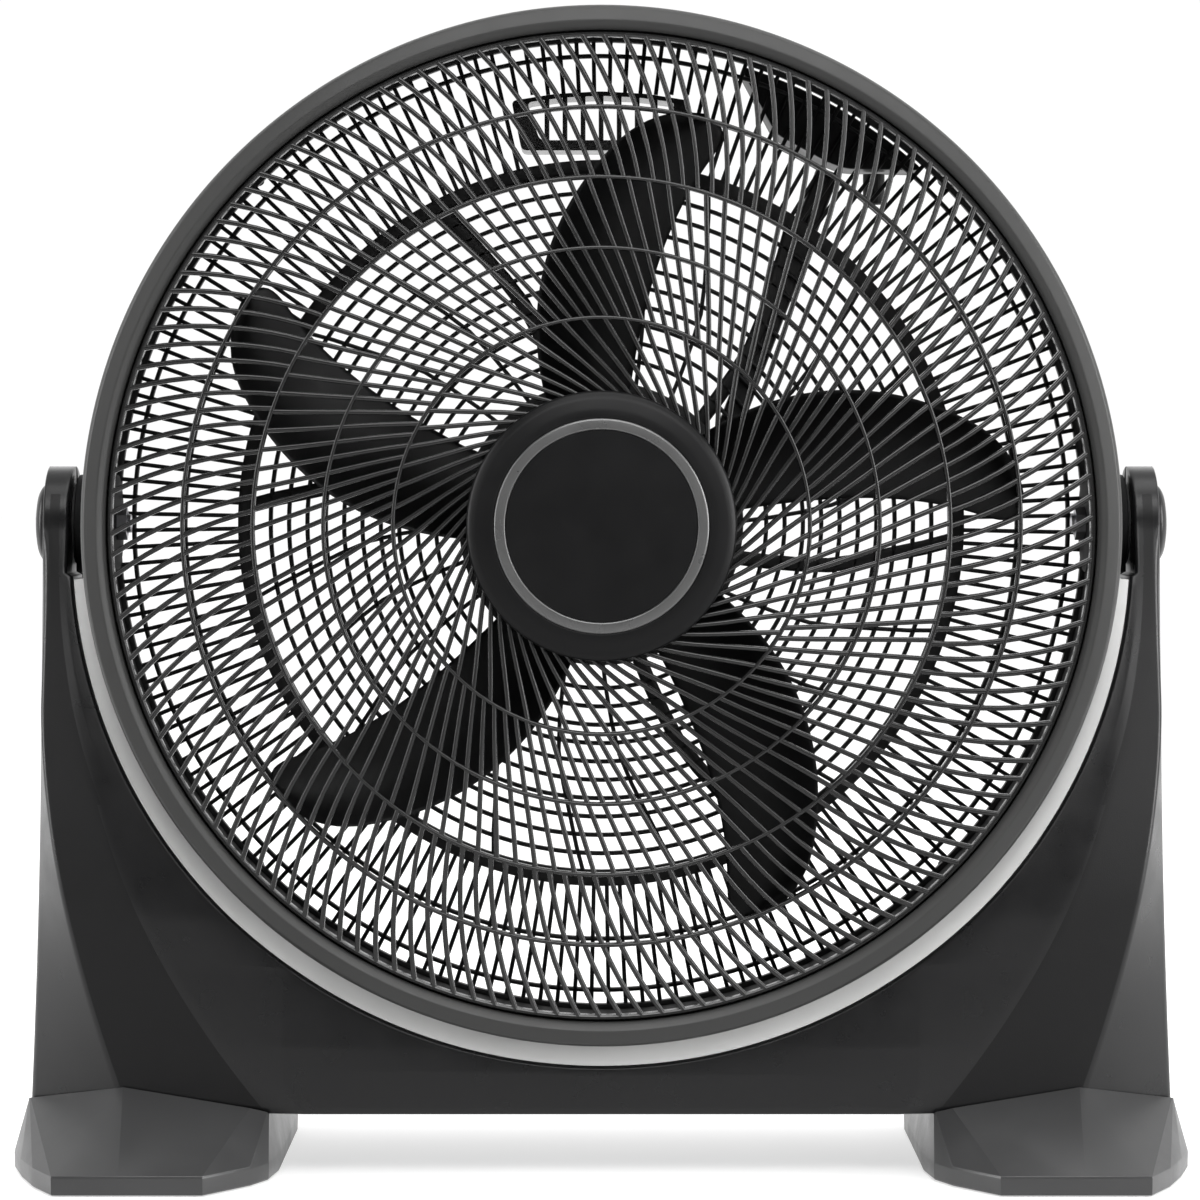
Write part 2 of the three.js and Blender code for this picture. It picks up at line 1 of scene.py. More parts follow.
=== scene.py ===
# Looks of a 50 cm round floor fan: full grilles, swept blades, smooth shells and moulded finishes,
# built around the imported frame. Metres, +Z up, front of the fan towards -Y.
import json
import math
import bmesh
import bpy
import numpy as np
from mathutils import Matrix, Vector


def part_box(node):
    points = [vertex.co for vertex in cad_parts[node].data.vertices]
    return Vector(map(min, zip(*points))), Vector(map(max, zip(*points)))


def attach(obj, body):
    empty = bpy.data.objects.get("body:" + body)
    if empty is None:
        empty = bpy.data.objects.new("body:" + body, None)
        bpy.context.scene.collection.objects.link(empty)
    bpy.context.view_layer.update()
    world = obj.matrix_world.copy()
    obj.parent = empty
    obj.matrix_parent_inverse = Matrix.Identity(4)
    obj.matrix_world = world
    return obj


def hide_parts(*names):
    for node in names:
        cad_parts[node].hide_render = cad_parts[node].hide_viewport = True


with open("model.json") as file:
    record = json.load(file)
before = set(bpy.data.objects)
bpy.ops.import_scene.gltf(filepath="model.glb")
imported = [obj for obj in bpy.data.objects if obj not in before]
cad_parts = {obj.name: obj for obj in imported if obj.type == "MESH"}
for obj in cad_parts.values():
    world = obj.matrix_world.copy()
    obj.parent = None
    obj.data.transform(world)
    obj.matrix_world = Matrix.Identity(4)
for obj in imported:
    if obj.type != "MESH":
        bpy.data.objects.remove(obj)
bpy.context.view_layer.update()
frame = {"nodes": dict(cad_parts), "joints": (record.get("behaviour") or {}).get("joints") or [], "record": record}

mm = 0.001
tiltJoint = next(joint for joint in frame["joints"] if joint["name"] == "head_tilt")
axisHeight = tiltJoint["pos_m"][2]      # fan axis and tilt axis above the floor
print("frame loaded, fan axis at", round(axisHeight, 4))


# shapes as whole arrays

def gridQuads(rows, columns, wrapRows=False, wrapColumns=False):
    # quads of a grid of points numbered row by row; a wrapped side joins its last line to its first
    i = np.arange(rows if wrapRows else rows - 1)[:, None]
    j = np.arange(columns if wrapColumns else columns - 1)[None, :]
    nextI, nextJ = (i + 1) % rows, (j + 1) % columns
    corners = [i * columns + j, nextI * columns + j, nextI * columns + nextJ, i * columns + nextJ]
    return np.stack(np.broadcast_arrays(*corners), axis=-1).reshape(-1, 4)


def rounded(outline, radius, steps=4, closed=True):
    # each corner gives way to a curve: both neighbours pulled to within radius, blended by t squared
    corners = np.asarray(outline, float)
    before, after = np.roll(corners, 1, axis=-2), np.roll(corners, -1, axis=-2)
    reach = np.broadcast_to(np.asarray(radius, float), corners.shape[:-1])[..., None]

    def towards(other):
        gapTo = other - corners
        length = np.maximum(np.linalg.norm(gapTo, axis=-1, keepdims=True), 1e-9)
        return corners + gapTo / length * np.minimum(reach, 0.48 * length)

    start, end = towards(before), towards(after)
    t = np.linspace(0, 1, steps + 1)[:, None]
    curve = ((1 - t) ** 2 * start[..., None, :] + 2 * t * (1 - t) * corners[..., None, :]
             + t ** 2 * end[..., None, :])
    flat = curve.reshape(*corners.shape[:-2], -1, corners.shape[-1])
    if closed:
        return flat
    inner = flat[..., steps + 1:-(steps + 1), :]
    return np.concatenate([corners[..., :1, :], inner, corners[..., -1:, :]], axis=-2)


def placed(across, up, along, axis, centre):
    # a plane shape (across, up) and a place along the axis become points about a centre
    order = {"x": (along, across, up), "y": (across, along, up), "z": (across, up, along)}[axis]
    return np.stack(np.broadcast_arrays(*order), axis=-1) + np.asarray(centre, float)


def turned(profile, segments, axis="y", centre=(0, 0, 0), loop=True):
    # radius times cosine and sine of the turn, at each [radius, along] of the profile
    radius, along = np.asarray(profile, float).T
    turn = np.linspace(0, 2 * np.pi, segments, endpoint=False)
    points = placed(radius[:, None] * np.cos(turn), radius[:, None] * np.sin(turn), along[:, None],
                    axis, centre)
    return points, gridQuads(len(radius), segments, wrapRows=loop, wrapColumns=True)


def sweptBars(paths, acrossDirections, section, deepDirections=(0.0, 1.0, 0.0), closedPath=False):
    # every path point plus the section's [across, deep] offsets, so a bar follows each path
    # paths and directions are (bars, steps, 3); the depth of a section runs along +Y if not told
    across = section[:, 0][None, None, :, None] * acrossDirections[:, :, None, :]
    deepDirections = np.broadcast_to(np.asarray(deepDirections, float), paths.shape)
    deep = section[:, 1][None, None, :, None] * deepDirections[:, :, None, :]
    points = paths[:, :, None, :] + across + deep
    bars, steps, around = points.shape[:3]
    single = gridQuads(steps, around, wrapRows=closedPath, wrapColumns=True)
    offsets = (np.arange(bars) * steps * around)[:, None, None]
    quads = (single[None] + offsets).reshape(-1, 4).tolist()
    if not closedPath:
        first = np.arange(around)[None, ::-1] + offsets[:, 0]
        last = np.arange(around)[None] + (steps - 1) * around + offsets[:, 0]
        quads += first.tolist() + last.tolist()
    return points, quads


def prism(outline, front, back, axis="y", centre=(0, 0, 0)):
    # a flat outline given thickness along an axis, closed with one face at each end
    outline = np.asarray(outline, float)
    along = np.array([front, back])[:, None]
    points = placed(outline[:, 0][None] + 0 * along, outline[:, 1][None] + 0 * along, along, axis, centre)
    count = len(outline)
    faces = gridQuads(2, count, wrapColumns=True).tolist()
    return points, faces + [list(range(count)), list(range(count, 2 * count))]


def headPoint(radius, angle, y):
    # a place on the head from its radius and angle about the fan axis, angle from +X towards +Z
    return np.stack(np.broadcast_arrays(radius * np.cos(angle), y, axisHeight + radius * np.sin(angle)), -1)


def outwards(angle):
    return np.stack([np.cos(angle), 0 * angle, np.sin(angle)], -1)


def sideways(angle):
    return np.stack([-np.sin(angle), 0 * angle, np.cos(angle)], -1)


def makeObject(name, parts, sharpAngle=35, outward=None, recalculate=True):
    # parts are (points, faces); doubles are merged, and faces are turned outwards
    points, faces, start = [], [], 0
    for partPoints, partFaces in parts:
        flat = np.asarray(partPoints, float).reshape(-1, 3)
        points.append(flat)
        listed = partFaces.tolist() if isinstance(partFaces, np.ndarray) else partFaces
        faces += [[index + start for index in face] for face in listed] if start else listed
        start += len(flat)
    mesh = bpy.data.meshes.new(name)
    mesh.from_pydata(np.concatenate(points).tolist(), [], faces)
    work = bmesh.new()
    work.from_mesh(mesh)
    bmesh.ops.remove_doubles(work, verts=work.verts, dist=2e-6)
    bmesh.ops.dissolve_degenerate(work, edges=work.edges, dist=1e-7)
    if recalculate:
        bmesh.ops.recalc_face_normals(work, faces=work.faces)
    if outward is not None:
        lean = sum((face.normal * face.calc_area()).dot(outward) for face in work.faces)
        if lean < 0:
            bmesh.ops.reverse_faces(work, faces=work.faces)
    work.to_mesh(mesh)
    work.free()
    mesh.polygons.foreach_set("use_smooth", np.ones(len(mesh.polygons), bool))
    mesh.set_sharp_from_angle(angle=math.radians(sharpAngle))
    made = bpy.data.objects.new(name, mesh)
    bpy.context.scene.collection.objects.link(made)
    return made


def fitOut(made, material, body, replaced=()):
    # a new piece gets its finish, its body, and the CAD nodes that it stands for
    made.data.materials.clear()
    made.data.materials.append(material)
    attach(made, body)
    if replaced:
        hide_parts(*replaced)
    return made


def finishModifier(made, kind, **values):
    modifier = made.modifiers.new(kind.title(), kind)
    for key, value in values.items():
        setattr(modifier, key, value)


def softenEdges(made, width, segments, sharperThan=50):
    finishModifier(made, "BEVEL", width=width, segments=segments, limit_method="ANGLE",
                   angle_limit=math.radians(sharperThan), harden_normals=False)


# finishes

def mapRange(nodes, fromValues, toValues, smooth=False):
    node = nodes.new("ShaderNodeMapRange")
    if smooth:
        node.interpolation_type = "SMOOTHSTEP"
    node.inputs["From Min"].default_value, node.inputs["From Max"].default_value = fromValues
    node.inputs["To Min"].default_value, node.inputs["To Max"].default_value = toValues
    return node


def materialOf(name, color, roughness, metallic=0.0, specular=0.5, grain=None, mottle=0.08,
               wearAndHighlight=0.0, wearAndHighlightColor=(0.2, 0.2, 0.2, 1), brushed=None):
    # moulded or painted finish: fine grain as bump, cloudy colour and roughness, pale convex edges that are partly
    # wear and partly a painted edge highlight
    made = bpy.data.materials.new(name)
    made.use_nodes = True
    nodes, links = made.node_tree.nodes, made.node_tree.links
    shader = nodes["Principled BSDF"]
    shader.inputs["Metallic"].default_value = metallic
    shader.inputs["Specular IOR Level"].default_value = specular
    place = nodes.new("ShaderNodeTexCoord")

    def noise(scale, detail, stretch=None):
        texture = nodes.new("ShaderNodeTexNoise")
        texture.inputs["Scale"].default_value = scale
        texture.inputs["Detail"].default_value = detail
        if stretch:
            mapping = nodes.new("ShaderNodeMapping")
            mapping.inputs["Scale"].default_value = stretch
            links.new(place.outputs["Object"], mapping.inputs["Vector"])
            links.new(mapping.outputs["Vector"], texture.inputs["Vector"])
        else:
            links.new(place.outputs["Object"], texture.inputs["Vector"])
        return texture

    def ranged(source, low, high):
        node = mapRange(nodes, (0.3, 0.7), (low, high))
        links.new(source, node.inputs["Value"])
        return node.outputs["Result"]

    cloud = noise(9, 3)
    patch = noise(55, 4)
    tint = nodes.new("ShaderNodeMix")
    tint.data_type = "RGBA"
    tint.inputs["A"].default_value = (*[c * (1 - mottle) for c in color], 1)
    tint.inputs["B"].default_value = (*[c * (1 + mottle) for c in color], 1)
    links.new(ranged(cloud.outputs["Fac"], 0, 1), tint.inputs["Factor"])
    colorOut = tint.outputs["Result"]
    # pale convex edges by pointiness: partly wear, partly a painted edge highlight
    if wearAndHighlight:
        geometry = nodes.new("ShaderNodeNewGeometry")
        edge = mapRange(nodes, (0.53, 0.62), (0, wearAndHighlight))
        links.new(geometry.outputs["Pointiness"], edge.inputs["Value"])
        wearAndHighlightMix = nodes.new("ShaderNodeMix")
        wearAndHighlightMix.data_type = "RGBA"
        wearAndHighlightMix.inputs["B"].default_value = wearAndHighlightColor
        links.new(edge.outputs["Result"], wearAndHighlightMix.inputs["Factor"])
        links.new(colorOut, wearAndHighlightMix.inputs["A"])
        colorOut = wearAndHighlightMix.outputs["Result"]
    links.new(colorOut, shader.inputs["Base Color"])
    links.new(ranged(patch.outputs["Fac"], roughness - 0.04, roughness + 0.04), shader.inputs["Roughness"])
    if grain:
        scale, depth = grain
        fine = noise(scale, 2, brushed)
        bump = nodes.new("ShaderNodeBump")
        bump.inputs["Strength"].default_value = 0.5
        bump.inputs["Distance"].default_value = depth
        links.new(fine.outputs["Fac"], bump.inputs["Height"])
        links.new(bump.outputs["Normal"], shader.inputs["Normal"])
    return made


finishes = {
    "stand": materialOf("StandPlastic", (0.0062, 0.0062, 0.0065), 0.30, specular=0.27,
                        grain=(1500, 0.00010)),
    # a darker, duller copy of the stand plastic for the facets between the creases: painted shade
    "shadedFacet": materialOf("StandFacetPaintedShade", (0.0046, 0.0046, 0.0048), 0.40, specular=0.17,
                        grain=(1500, 0.00010)),
    # the feet are the stand's plastic painted about four times lighter: painted light for the light their upturned
    # facets catch; their pale edges are partly wear, partly a painted edge highlight
    "foot": materialOf("FootPlasticPaintedLight", (0.024, 0.024, 0.0245), 0.34, specular=0.5,
                       grain=(1500, 0.00010), wearAndHighlight=0.3, wearAndHighlightColor=(0.07, 0.07, 0.072, 1)),
    "grille": materialOf("GrillePlastic", (0.0060, 0.0060, 0.0060), 0.22, specular=0.42,
                         grain=(900, 0.00005)),
    "badge": materialOf("BadgePlastic", (0.0038, 0.0038, 0.0040), 0.36, specular=0.14,
                        grain=(1800, 0.00006)),
    "black": materialOf("BlackPlastic", (0.0038, 0.0038, 0.004), 0.45, specular=0.3, grain=(1200, 0.00008)),
    "blade": materialOf("BladePlastic", (0.0045, 0.0045, 0.0047), 0.36, specular=0.3, grain=(700, 0.00005)),
    "drum": materialOf("DrumPlastic", (0.0045, 0.0045, 0.0047), 0.6, specular=0.08, grain=(1300, 0.00009)),
    "bezel": materialOf("BezelPaint", (0.028, 0.028, 0.0275), 0.38, specular=0.24,
                        grain=(2600, 0.00004), mottle=0.05),
    "ring": materialOf("RingPaint", (0.10, 0.10, 0.10), 0.30, metallic=0.6, grain=(2600, 0.00004),
                       mottle=0.05),
    "silver": materialOf("SilverPaint", (0.50, 0.50, 0.495), 0.5, metallic=0.15, grain=(2600, 0.00004),
                         mottle=0.05),
    "steel": materialOf("ZincSteel", (0.46, 0.46, 0.48), 0.32, metallic=1.0, grain=(900, 0.00005)),
    "cast": materialOf("CastAluminium", (0.40, 0.41, 0.43), 0.48, metallic=1.0, grain=(700, 0.00025)),
    "copper": materialOf("CopperWinding", (0.42, 0.14, 0.05), 0.35, metallic=0.9,
                         grain=(600, 0.0004), brushed=(0.2, 1, 1)),
    "rubber": materialOf("Rubber", (0.010, 0.010, 0.010), 0.8, grain=(1400, 0.0002)),
    "mark": materialOf("DialPaint", (0.6, 0.6, 0.6), 0.5, mottle=0.03),
    "switch": materialOf("SwitchBody", (0.35, 0.32, 0.25), 0.55, grain=(1200, 0.0001)),
}
print("finishes made:", len(finishes))


# camera, lights and floor

view = {
    "focal": 115.8,          # millimetres on a 36 mm sensor
    "distance": 2.0,         # metres from the plane of the bezel
    "above": 0.0257,         # metres above the fan axis
    "aside": -0.004,
    "shift": (0.0052, -0.1033),     # the level camera's frame is moved down to the feet
}
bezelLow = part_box("trim_ring")[0]
camera = bpy.data.objects.new("Camera", bpy.data.cameras.new("Camera"))
camera.data.lens = view["focal"]
camera.data.sensor_width = 36
camera.data.clip_end = 50
camera.location = (view["aside"], bezelLow.y + 0.004 - view["distance"], axisHeight + view["above"])
camera.rotation_euler = (math.pi / 2, 0, 0)
camera.data.shift_x, camera.data.shift_y = view["shift"]
bpy.context.scene.collection.objects.link(camera)
bpy.context.scene.camera = camera
bpy.context.scene.view_settings.view_transform = "Standard"


def softbox(name, place, aim, size, power):
    light = bpy.data.lights.new(name, "AREA")
    light.shape = "RECTANGLE"
    light.size, light.size_y = size
    light.energy = power
    holder = bpy.data.objects.new(name, light)
    holder.location = place
    direction = [a - b for a, b in zip(aim, place)]
    flat = math.hypot(direction[0], direction[1])
    holder.rotation_euler = (math.atan2(flat, -direction[2]), 0,
                             math.atan2(direction[1], direction[0]) - math.pi / 2)
    holder.visible_camera = False
    bpy.context.scene.collection.objects.link(holder)


# each light: place, the point that it faces, size and watts
studio = {
    "top": ((0.2, -0.4, 2.3), (0, 0, 0.3), (2.2, 1.0), 24),
    "key": ((0.2, -1.7, 2.0), (0, 0, 0.4), (2.4, 0.9), 44),
    "frontRight": ((1.5, -1.7, 0.85), (0, 0, 0.4), (0.6, 1.3), 13),
    "frontLeft": ((-1.5, -1.7, 0.9), (0, 0, 0.4), (0.5, 1.2), 6),
    "left": ((-2.3, -0.3, 0.9), (0, 0, 0.3), (0.9, 1.8), 46),
    "right": ((2.3, -0.6, 0.8), (0, 0, 0.3), (1.0, 1.8), 66),
    "back": ((0, 2.4, 1.6), (0, 0, 0.4), (2.4, 1.6), 12),
    "pool": ((0.1, -1.3, 0.9), (0.1, -1.3, 0), (0.7, 0.5), 7),
}
for lightName, (place, aim, size, power) in studio.items():
    softbox(f"Light{lightName[0].upper()}{lightName[1:]}", place, aim, size, power)

world = bpy.data.worlds.new("Studio")
world.use_nodes = True
bpy.context.scene.world = world
worldNodes, worldLinks = world.node_tree.nodes, world.node_tree.links
backdrop = worldNodes["Background"]
backdrop.inputs["Color"].default_value = (1, 1, 1, 1)
outlook = worldNodes.new("ShaderNodeTexCoord")
facing = worldNodes.new("ShaderNodeSeparateXYZ")
# white behind the fan, dim in front of it
strength = mapRange(worldNodes, (-0.45, 0.25), (0.12, 1.02), smooth=True)
worldLinks.new(outlook.outputs["Generated"], facing.inputs["Vector"])
worldLinks.new(facing.outputs["Y"], strength.inputs["Value"])
worldLinks.new(strength.outputs["Result"], backdrop.inputs["Strength"])


def paleFloor():
    # a matt floor with a glow that grows from the front to the back, so that it meets the backdrop
    made = materialOf("PaleFloor", (0.46, 0.46, 0.46), 0.75, mottle=0.01, specular=0.2)
    nodes, links = made.node_tree.nodes, made.node_tree.links
    shader = nodes["Principled BSDF"]
    place = nodes.new("ShaderNodeTexCoord")
    split = nodes.new("ShaderNodeSeparateXYZ")
    lift = mapRange(nodes, (-0.5, 0.1), (0, 0.72), smooth=True)
    shader.inputs["Emission Color"].default_value = (1, 1, 1, 1)
    links.new(place.outputs["Object"], split.inputs["Vector"])
    links.new(split.outputs["Y"], lift.inputs["Value"])
    links.new(lift.outputs["Result"], shader.inputs["Emission Strength"])
    return made


floorSize = 30
floorPoints = np.array([[-1, -1, 0], [1, -1, 0], [1, 1, 0], [-1, 1, 0]]) * floorSize
floorPoints[:, 2] = -0.0002
floor = makeObject("Floor", [(floorPoints, np.array([[0, 1, 2, 3]]))])
floor.data.materials.append(paleFloor())
print("camera, lights and floor placed")


# front grille

frontGrille = {
    "hubRadius": 70 * mm,
    "rimInside": 254 * mm,
    "hubFront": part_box("front_grille")[0].y,
    "rise": 9.5 * mm,             # the dome falls back this much from hub to rim
    "ribWidth": 2.5 * mm,
    "ribDepth": 5.5 * mm,
    "ringWidth": 2.1 * mm,
    "rings": [107.5 * mm, 143.6 * mm, 180.2 * mm, 216.8 * mm],
    # ribs, first and last radius, angle from the radial direction at both ends in degrees, phase
    "zones": [
        (63, 66 * mm, 108 * mm, 53, 30, 0.0),
        (110, 107 * mm, 181 * mm, 30, 17.5, 0.0),
        (146, 180 * mm, 254.5 * mm, 16.5, 30, 0.0),
    ],
}


def domeY(radius):
    # hub plane plus a rise that grows with the square of the way out to the rim
    g = frontGrille
    outward = np.clip((radius - g["hubRadius"]) / (g["rimInside"] - g["hubRadius"]), 0, 1.05)
    return g["hubFront"] + g["rise"] * outward ** 2


def ribSection(width, depth):
    # flat front with rolled edges, eight corners
    half = width / 2
    return np.array([[-half, depth], [-half, depth * 0.2], [-half * 0.8, depth * 0.06],
                     [-half * 0.42, 0], [half * 0.42, 0], [half * 0.8, depth * 0.06],
                     [half, depth * 0.2], [half, depth]])


def spiralPaths(count, inner, outer, leanInner, leanOuter, phase, heightOf, steps=9):
    # the angle grows by tan(lean) times dr / r, summed along the radius; copies are turned evenly
    radius = np.linspace(inner, outer, steps)
    lean = np.tan(np.radians(np.linspace(leanInner, leanOuter, steps)))
    slope = lean / radius
    gained = np.concatenate([[0], np.cumsum((slope[1:] + slope[:-1]) / 2 * np.diff(radius))])
    angle = np.radians(phase) + 2 * np.pi * np.arange(count)[:, None] / count + gained[None]
    paths = headPoint(radius[None], angle, heightOf(radius)[None])
    heading = angle + np.arctan(lean)[None]
    return paths, sideways(heading)


def ringLoop(radius, width, depth, front):
    # closed section of a ring: the same crowned front as a rib
    section = ribSection(width, depth)
    return [[radius + across, front + deep] for across, deep in section]


g = frontGrille
grilleParts = []
for count, inner, outer, leanInner, leanOuter, phase in g["zones"]:
    paths, across = spiralPaths(count, inner, outer, leanInner, leanOuter, phase, domeY)
    grilleParts.append(sweptBars(paths, across, ribSection(g["ribWidth"], g["ribDepth"])))
centre = (0, 0, axisHeight)
for radius in g["rings"]:
    loop = ringLoop(radius, g["ringWidth"], g["ribDepth"], domeY(np.array(radius)) - 0.2 * mm)
    grilleParts.append(turned(loop, 220, centre=centre))
rimY = bezelLow.y
rimProfile = rounded(np.array([
    [253.4, 1.4], [255.2, 0.9], [255.8, 2.0], [255.8, 6.4], [265.4, 7.6], [265.4, 10.5], [262.0, 10.5],
    [256.0, 9.0], [253.4, 8.6],
]) * mm + [0, rimY], 0.6 * mm, 2)
grilleParts.append(turned(rimProfile, 256, centre=centre))
hubPlate = rounded(np.array([[20, 0], [69, 0.2], [69, 5.2], [20, 5.2]]) * mm + [0, g["hubFront"] + 0.6 * mm],
                   0.8 * mm, 2)
grilleParts.append(turned(hubPlate, 120, centre=centre))
fitOut(makeObject("FrontGrille", grilleParts, sharpAngle=40), finishes["grille"], "head",
       ["front_grille"])
print("front grille made")


# hub badge and its ring

badge = {"grooveInside": 49.2 * mm, "grooveOutside": 55.6 * mm, "segments": 180}
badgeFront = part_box("hub_badge")[0].y


def badgeProfile():
    # a shallow dome with a groove for the ring, a rolled edge and a thin wall behind
    b = badge
    corners = np.array([
        [b["grooveInside"] / mm, 0.5], [b["grooveInside"] / mm + 0.1, 1.5],
        [b["grooveOutside"] / mm - 0.1, 1.6], [b["grooveOutside"] / mm, 0.7], [60, 1.0], [66, 2.2],
        [69.2, 4.2], [70, 6.6], [68.2, 6.8], [66, 5.2], [58, 3.6],
    ])
    front = rounded(corners, 1.2, 3, closed=False)
    face = np.linspace(0, b["grooveInside"] / mm - 1, 12)
    crown = np.stack([face, 0.5 * (face / 50) ** 2], -1)
    behind = np.array([[40, 3.2], [0, 3.0]])
    return np.concatenate([crown, front, behind]) * mm + [0, badgeFront]


fitOut(makeObject("HubBadge", [turned(badgeProfile(), badge["segments"], centre=centre, loop=False)]),
       finishes["badge"], "head", ["hub_badge"])
ringBand = rounded(np.array([[49.4, 1.0], [50.1, 0.35], [54.6, 0.55], [55.4, 1.2], [55.4, 1.5], [49.4, 1.4]])
                   * mm + [0, badgeFront], 0.35 * mm, 3)
fitOut(makeObject("HubAccentRing", [turned(ringBand, badge["segments"], centre=centre)]),
       finishes["ring"], "head", ["hub_accent_ring"])


# bezel and drum

bezelProfile = rounded(np.array([
    [256.9, 3.4], [261.6, 0.0], [268.6, 2.4], [270.3, 5.6], [270.3, 20.6],
    [269.9, 21.0], [268.8, 21.0], [268.8, 8.2], [265.8, 6.6], [256.9, 5.0],
]) * mm + [0, rimY], [x * mm for x in [0.5, 0.8, 1.0, 1.4, 0.3, 0.3, 0.3, 1, 1, 0.5]], 4)
fitOut(makeObject("TrimRing", [turned(bezelProfile, 288, centre=centre)]), finishes["bezel"], "head",
       ["trim_ring"])

drumLow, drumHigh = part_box("drum")
drumProfile = rounded(np.array([
    [266.0, drumLow.y / mm], [268.5, drumLow.y / mm], [268.5, -60], [268.2, -59.2], [268.2, -56.8],
    [268.5, -56], [268.5, drumHigh.y / mm - 3], [268.1, drumHigh.y / mm], [266.0, drumHigh.y / mm],
]) * mm, 0.5 * mm, 2)
fitOut(makeObject("Drum", [turned(drumProfile, 256, centre=centre)]), finishes["drum"], "head",
       ["drum"])
print("badge, bezel and drum made")


# rear grille

plateLow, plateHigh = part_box("rear_grille")
rearGrille = {
    "front": plateLow.y,
    "depth": plateHigh.y - plateLow.y,
    "wire": 2.3 * mm,
    "plate": (34 * mm, 78 * mm),
    "rings": 90.6 * mm + 10.06 * mm * np.arange(11),
    "thickRing": (191.8 * mm, 199.0 * mm),
    "outerRings": [228 * mm, 256 * mm],
    "outerRibs": 176,
    "outerRibStart": 0.9,         # degrees from +X to the first outer rib
    "outerRibEnd": 265 * mm,
    "struts": 24,
    "strutStart": 45.6,           # degrees from +X to the first inner rib
    "strutWidth": 8 * mm,
    "strutReach": (76 * mm, 195 * mm),
    # how many degrees an inner rib has leaned at each radius in millimetres
    "strutLean": ([76, 125, 160, 187, 195], [0, 3.6, 8.2, 11, 11.8]),
    "rim": (263.4 * mm, 268.5 * mm),
}
handleLow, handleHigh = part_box("carry_handle")
handleBottom = handleLow.z - axisHeight
handleTop = handleHigh.z - axisHeight


def handleHalfWidth(height):
    # the handle's frame tapers: half its width grows from its bottom to its top
    share = np.clip((height - handleBottom) / (handleTop - handleBottom), 0, 1)
    return (44.6 + 10 * share) * mm


def rearGrilleParts():
    r = rearGrille
    parts = []
    section = ribSection(r["wire"], r["depth"] - 1 * mm)
    thickSection = ribSection(r["strutWidth"], r["depth"] + 1.5 * mm)
    front = r["front"] + 0.5 * mm

    def arc(radius, section, fromAngle, toAngle, steps):
        angle = np.linspace(fromAngle, toAngle, steps)[None]
        return sweptBars(headPoint(radius, angle, front), outwards(angle), section)

    for radius in r["rings"]:
        parts.append(turned(ringLoop(radius, r["wire"], r["depth"] - 1 * mm, front), 160, centre=centre))
    for radius in r["outerRings"]:
        if radius < handleTop:
            opening = math.asin(handleHalfWidth(radius) / radius)
            parts.append(arc(radius, section, math.pi / 2 + opening, 2.5 * math.pi - opening, 200))
        else:
            parts.append(turned(ringLoop(radius, r["wire"], r["depth"] - 1 * mm, front), 220, centre=centre))
    for inside, outside in (r["plate"], r["thickRing"], r["rim"]):
        loop = rounded([[inside, front - 0.5 * mm], [outside, front - 0.5 * mm],
                        [outside, front + r["depth"] - 0.5 * mm], [inside, front + r["depth"] - 0.5 * mm]],
                       0.8 * mm, 2)
        parts.append(turned(loop, 220, centre=centre))

    # outer ribs are straight; one that meets the handle starts above it
    angle = np.radians(r["outerRibStart"]) + 2 * np.pi * np.arange(r["outerRibs"]) / r["outerRibs"]
    start = np.full(angle.shape, r["thickRing"][1] - 1 * mm)
    above = handleTop / np.maximum(np.sin(angle), 1e-3)
    meets = (np.sin(angle) > 0) & (np.abs(above * np.cos(angle)) < handleHalfWidth(handleTop) - 3 * mm)
    start = np.where(meets, above - 1 * mm, start)
    reach = np.linspace(0, 1, 3)
    radius = start[:, None] + (r["outerRibEnd"] - start[:, None]) * reach[None]
    paths = headPoint(radius, angle[:, None], front)
    across = sideways(angle)[:, None] * np.ones((1, 3, 1))
    crosses = ~meets & (np.sin(angle) > 0) & (np.abs(handleBottom / np.maximum(np.sin(angle), 1e-3)
                                                    * np.cos(angle)) < handleHalfWidth(handleBottom))
    parts.append(sweptBars(paths[~crosses], across[~crosses], section))

    # inner ribs lean a little as they go out; every fourth one is a thick strut
    radius = np.linspace(*r["strutReach"], 8)
    lean = np.radians(np.interp(radius / mm, *r["strutLean"]))
    base = np.radians(r["strutStart"] + 360 / r["struts"] * np.arange(r["struts"]))
    angle = base[:, None] + lean[None]
    paths = headPoint(radius[None], angle, front)
    tangent = np.gradient(paths, axis=1)
    across = np.stack([-tangent[..., 2], 0 * tangent[..., 0], tangent[..., 0]], -1)
    across /= np.linalg.norm(across, axis=-1, keepdims=True)
    thick = np.arange(r["struts"]) % 4 == 0
    parts.append(sweptBars(paths[~thick], across[~thick], section))
    parts.append(sweptBars(paths[thick], across[thick], thickSection))
    return parts


fitOut(makeObject("RearGrille", rearGrilleParts(), sharpAngle=40), finishes["black"], "head",
       ["rear_grille"])
print("rear grille made")


# blades

blades = {
    "count": 5,
    "root": 34 * mm,
    "tip": 223.5 * mm,
    "middle": -52 * mm,           # middle of the blade along Y
    "rise": 30 * mm,              # how far the chord climbs along Y at the root
    "thickness": 2.8 * mm,
    "stations": 46,
    "around": 30,
}


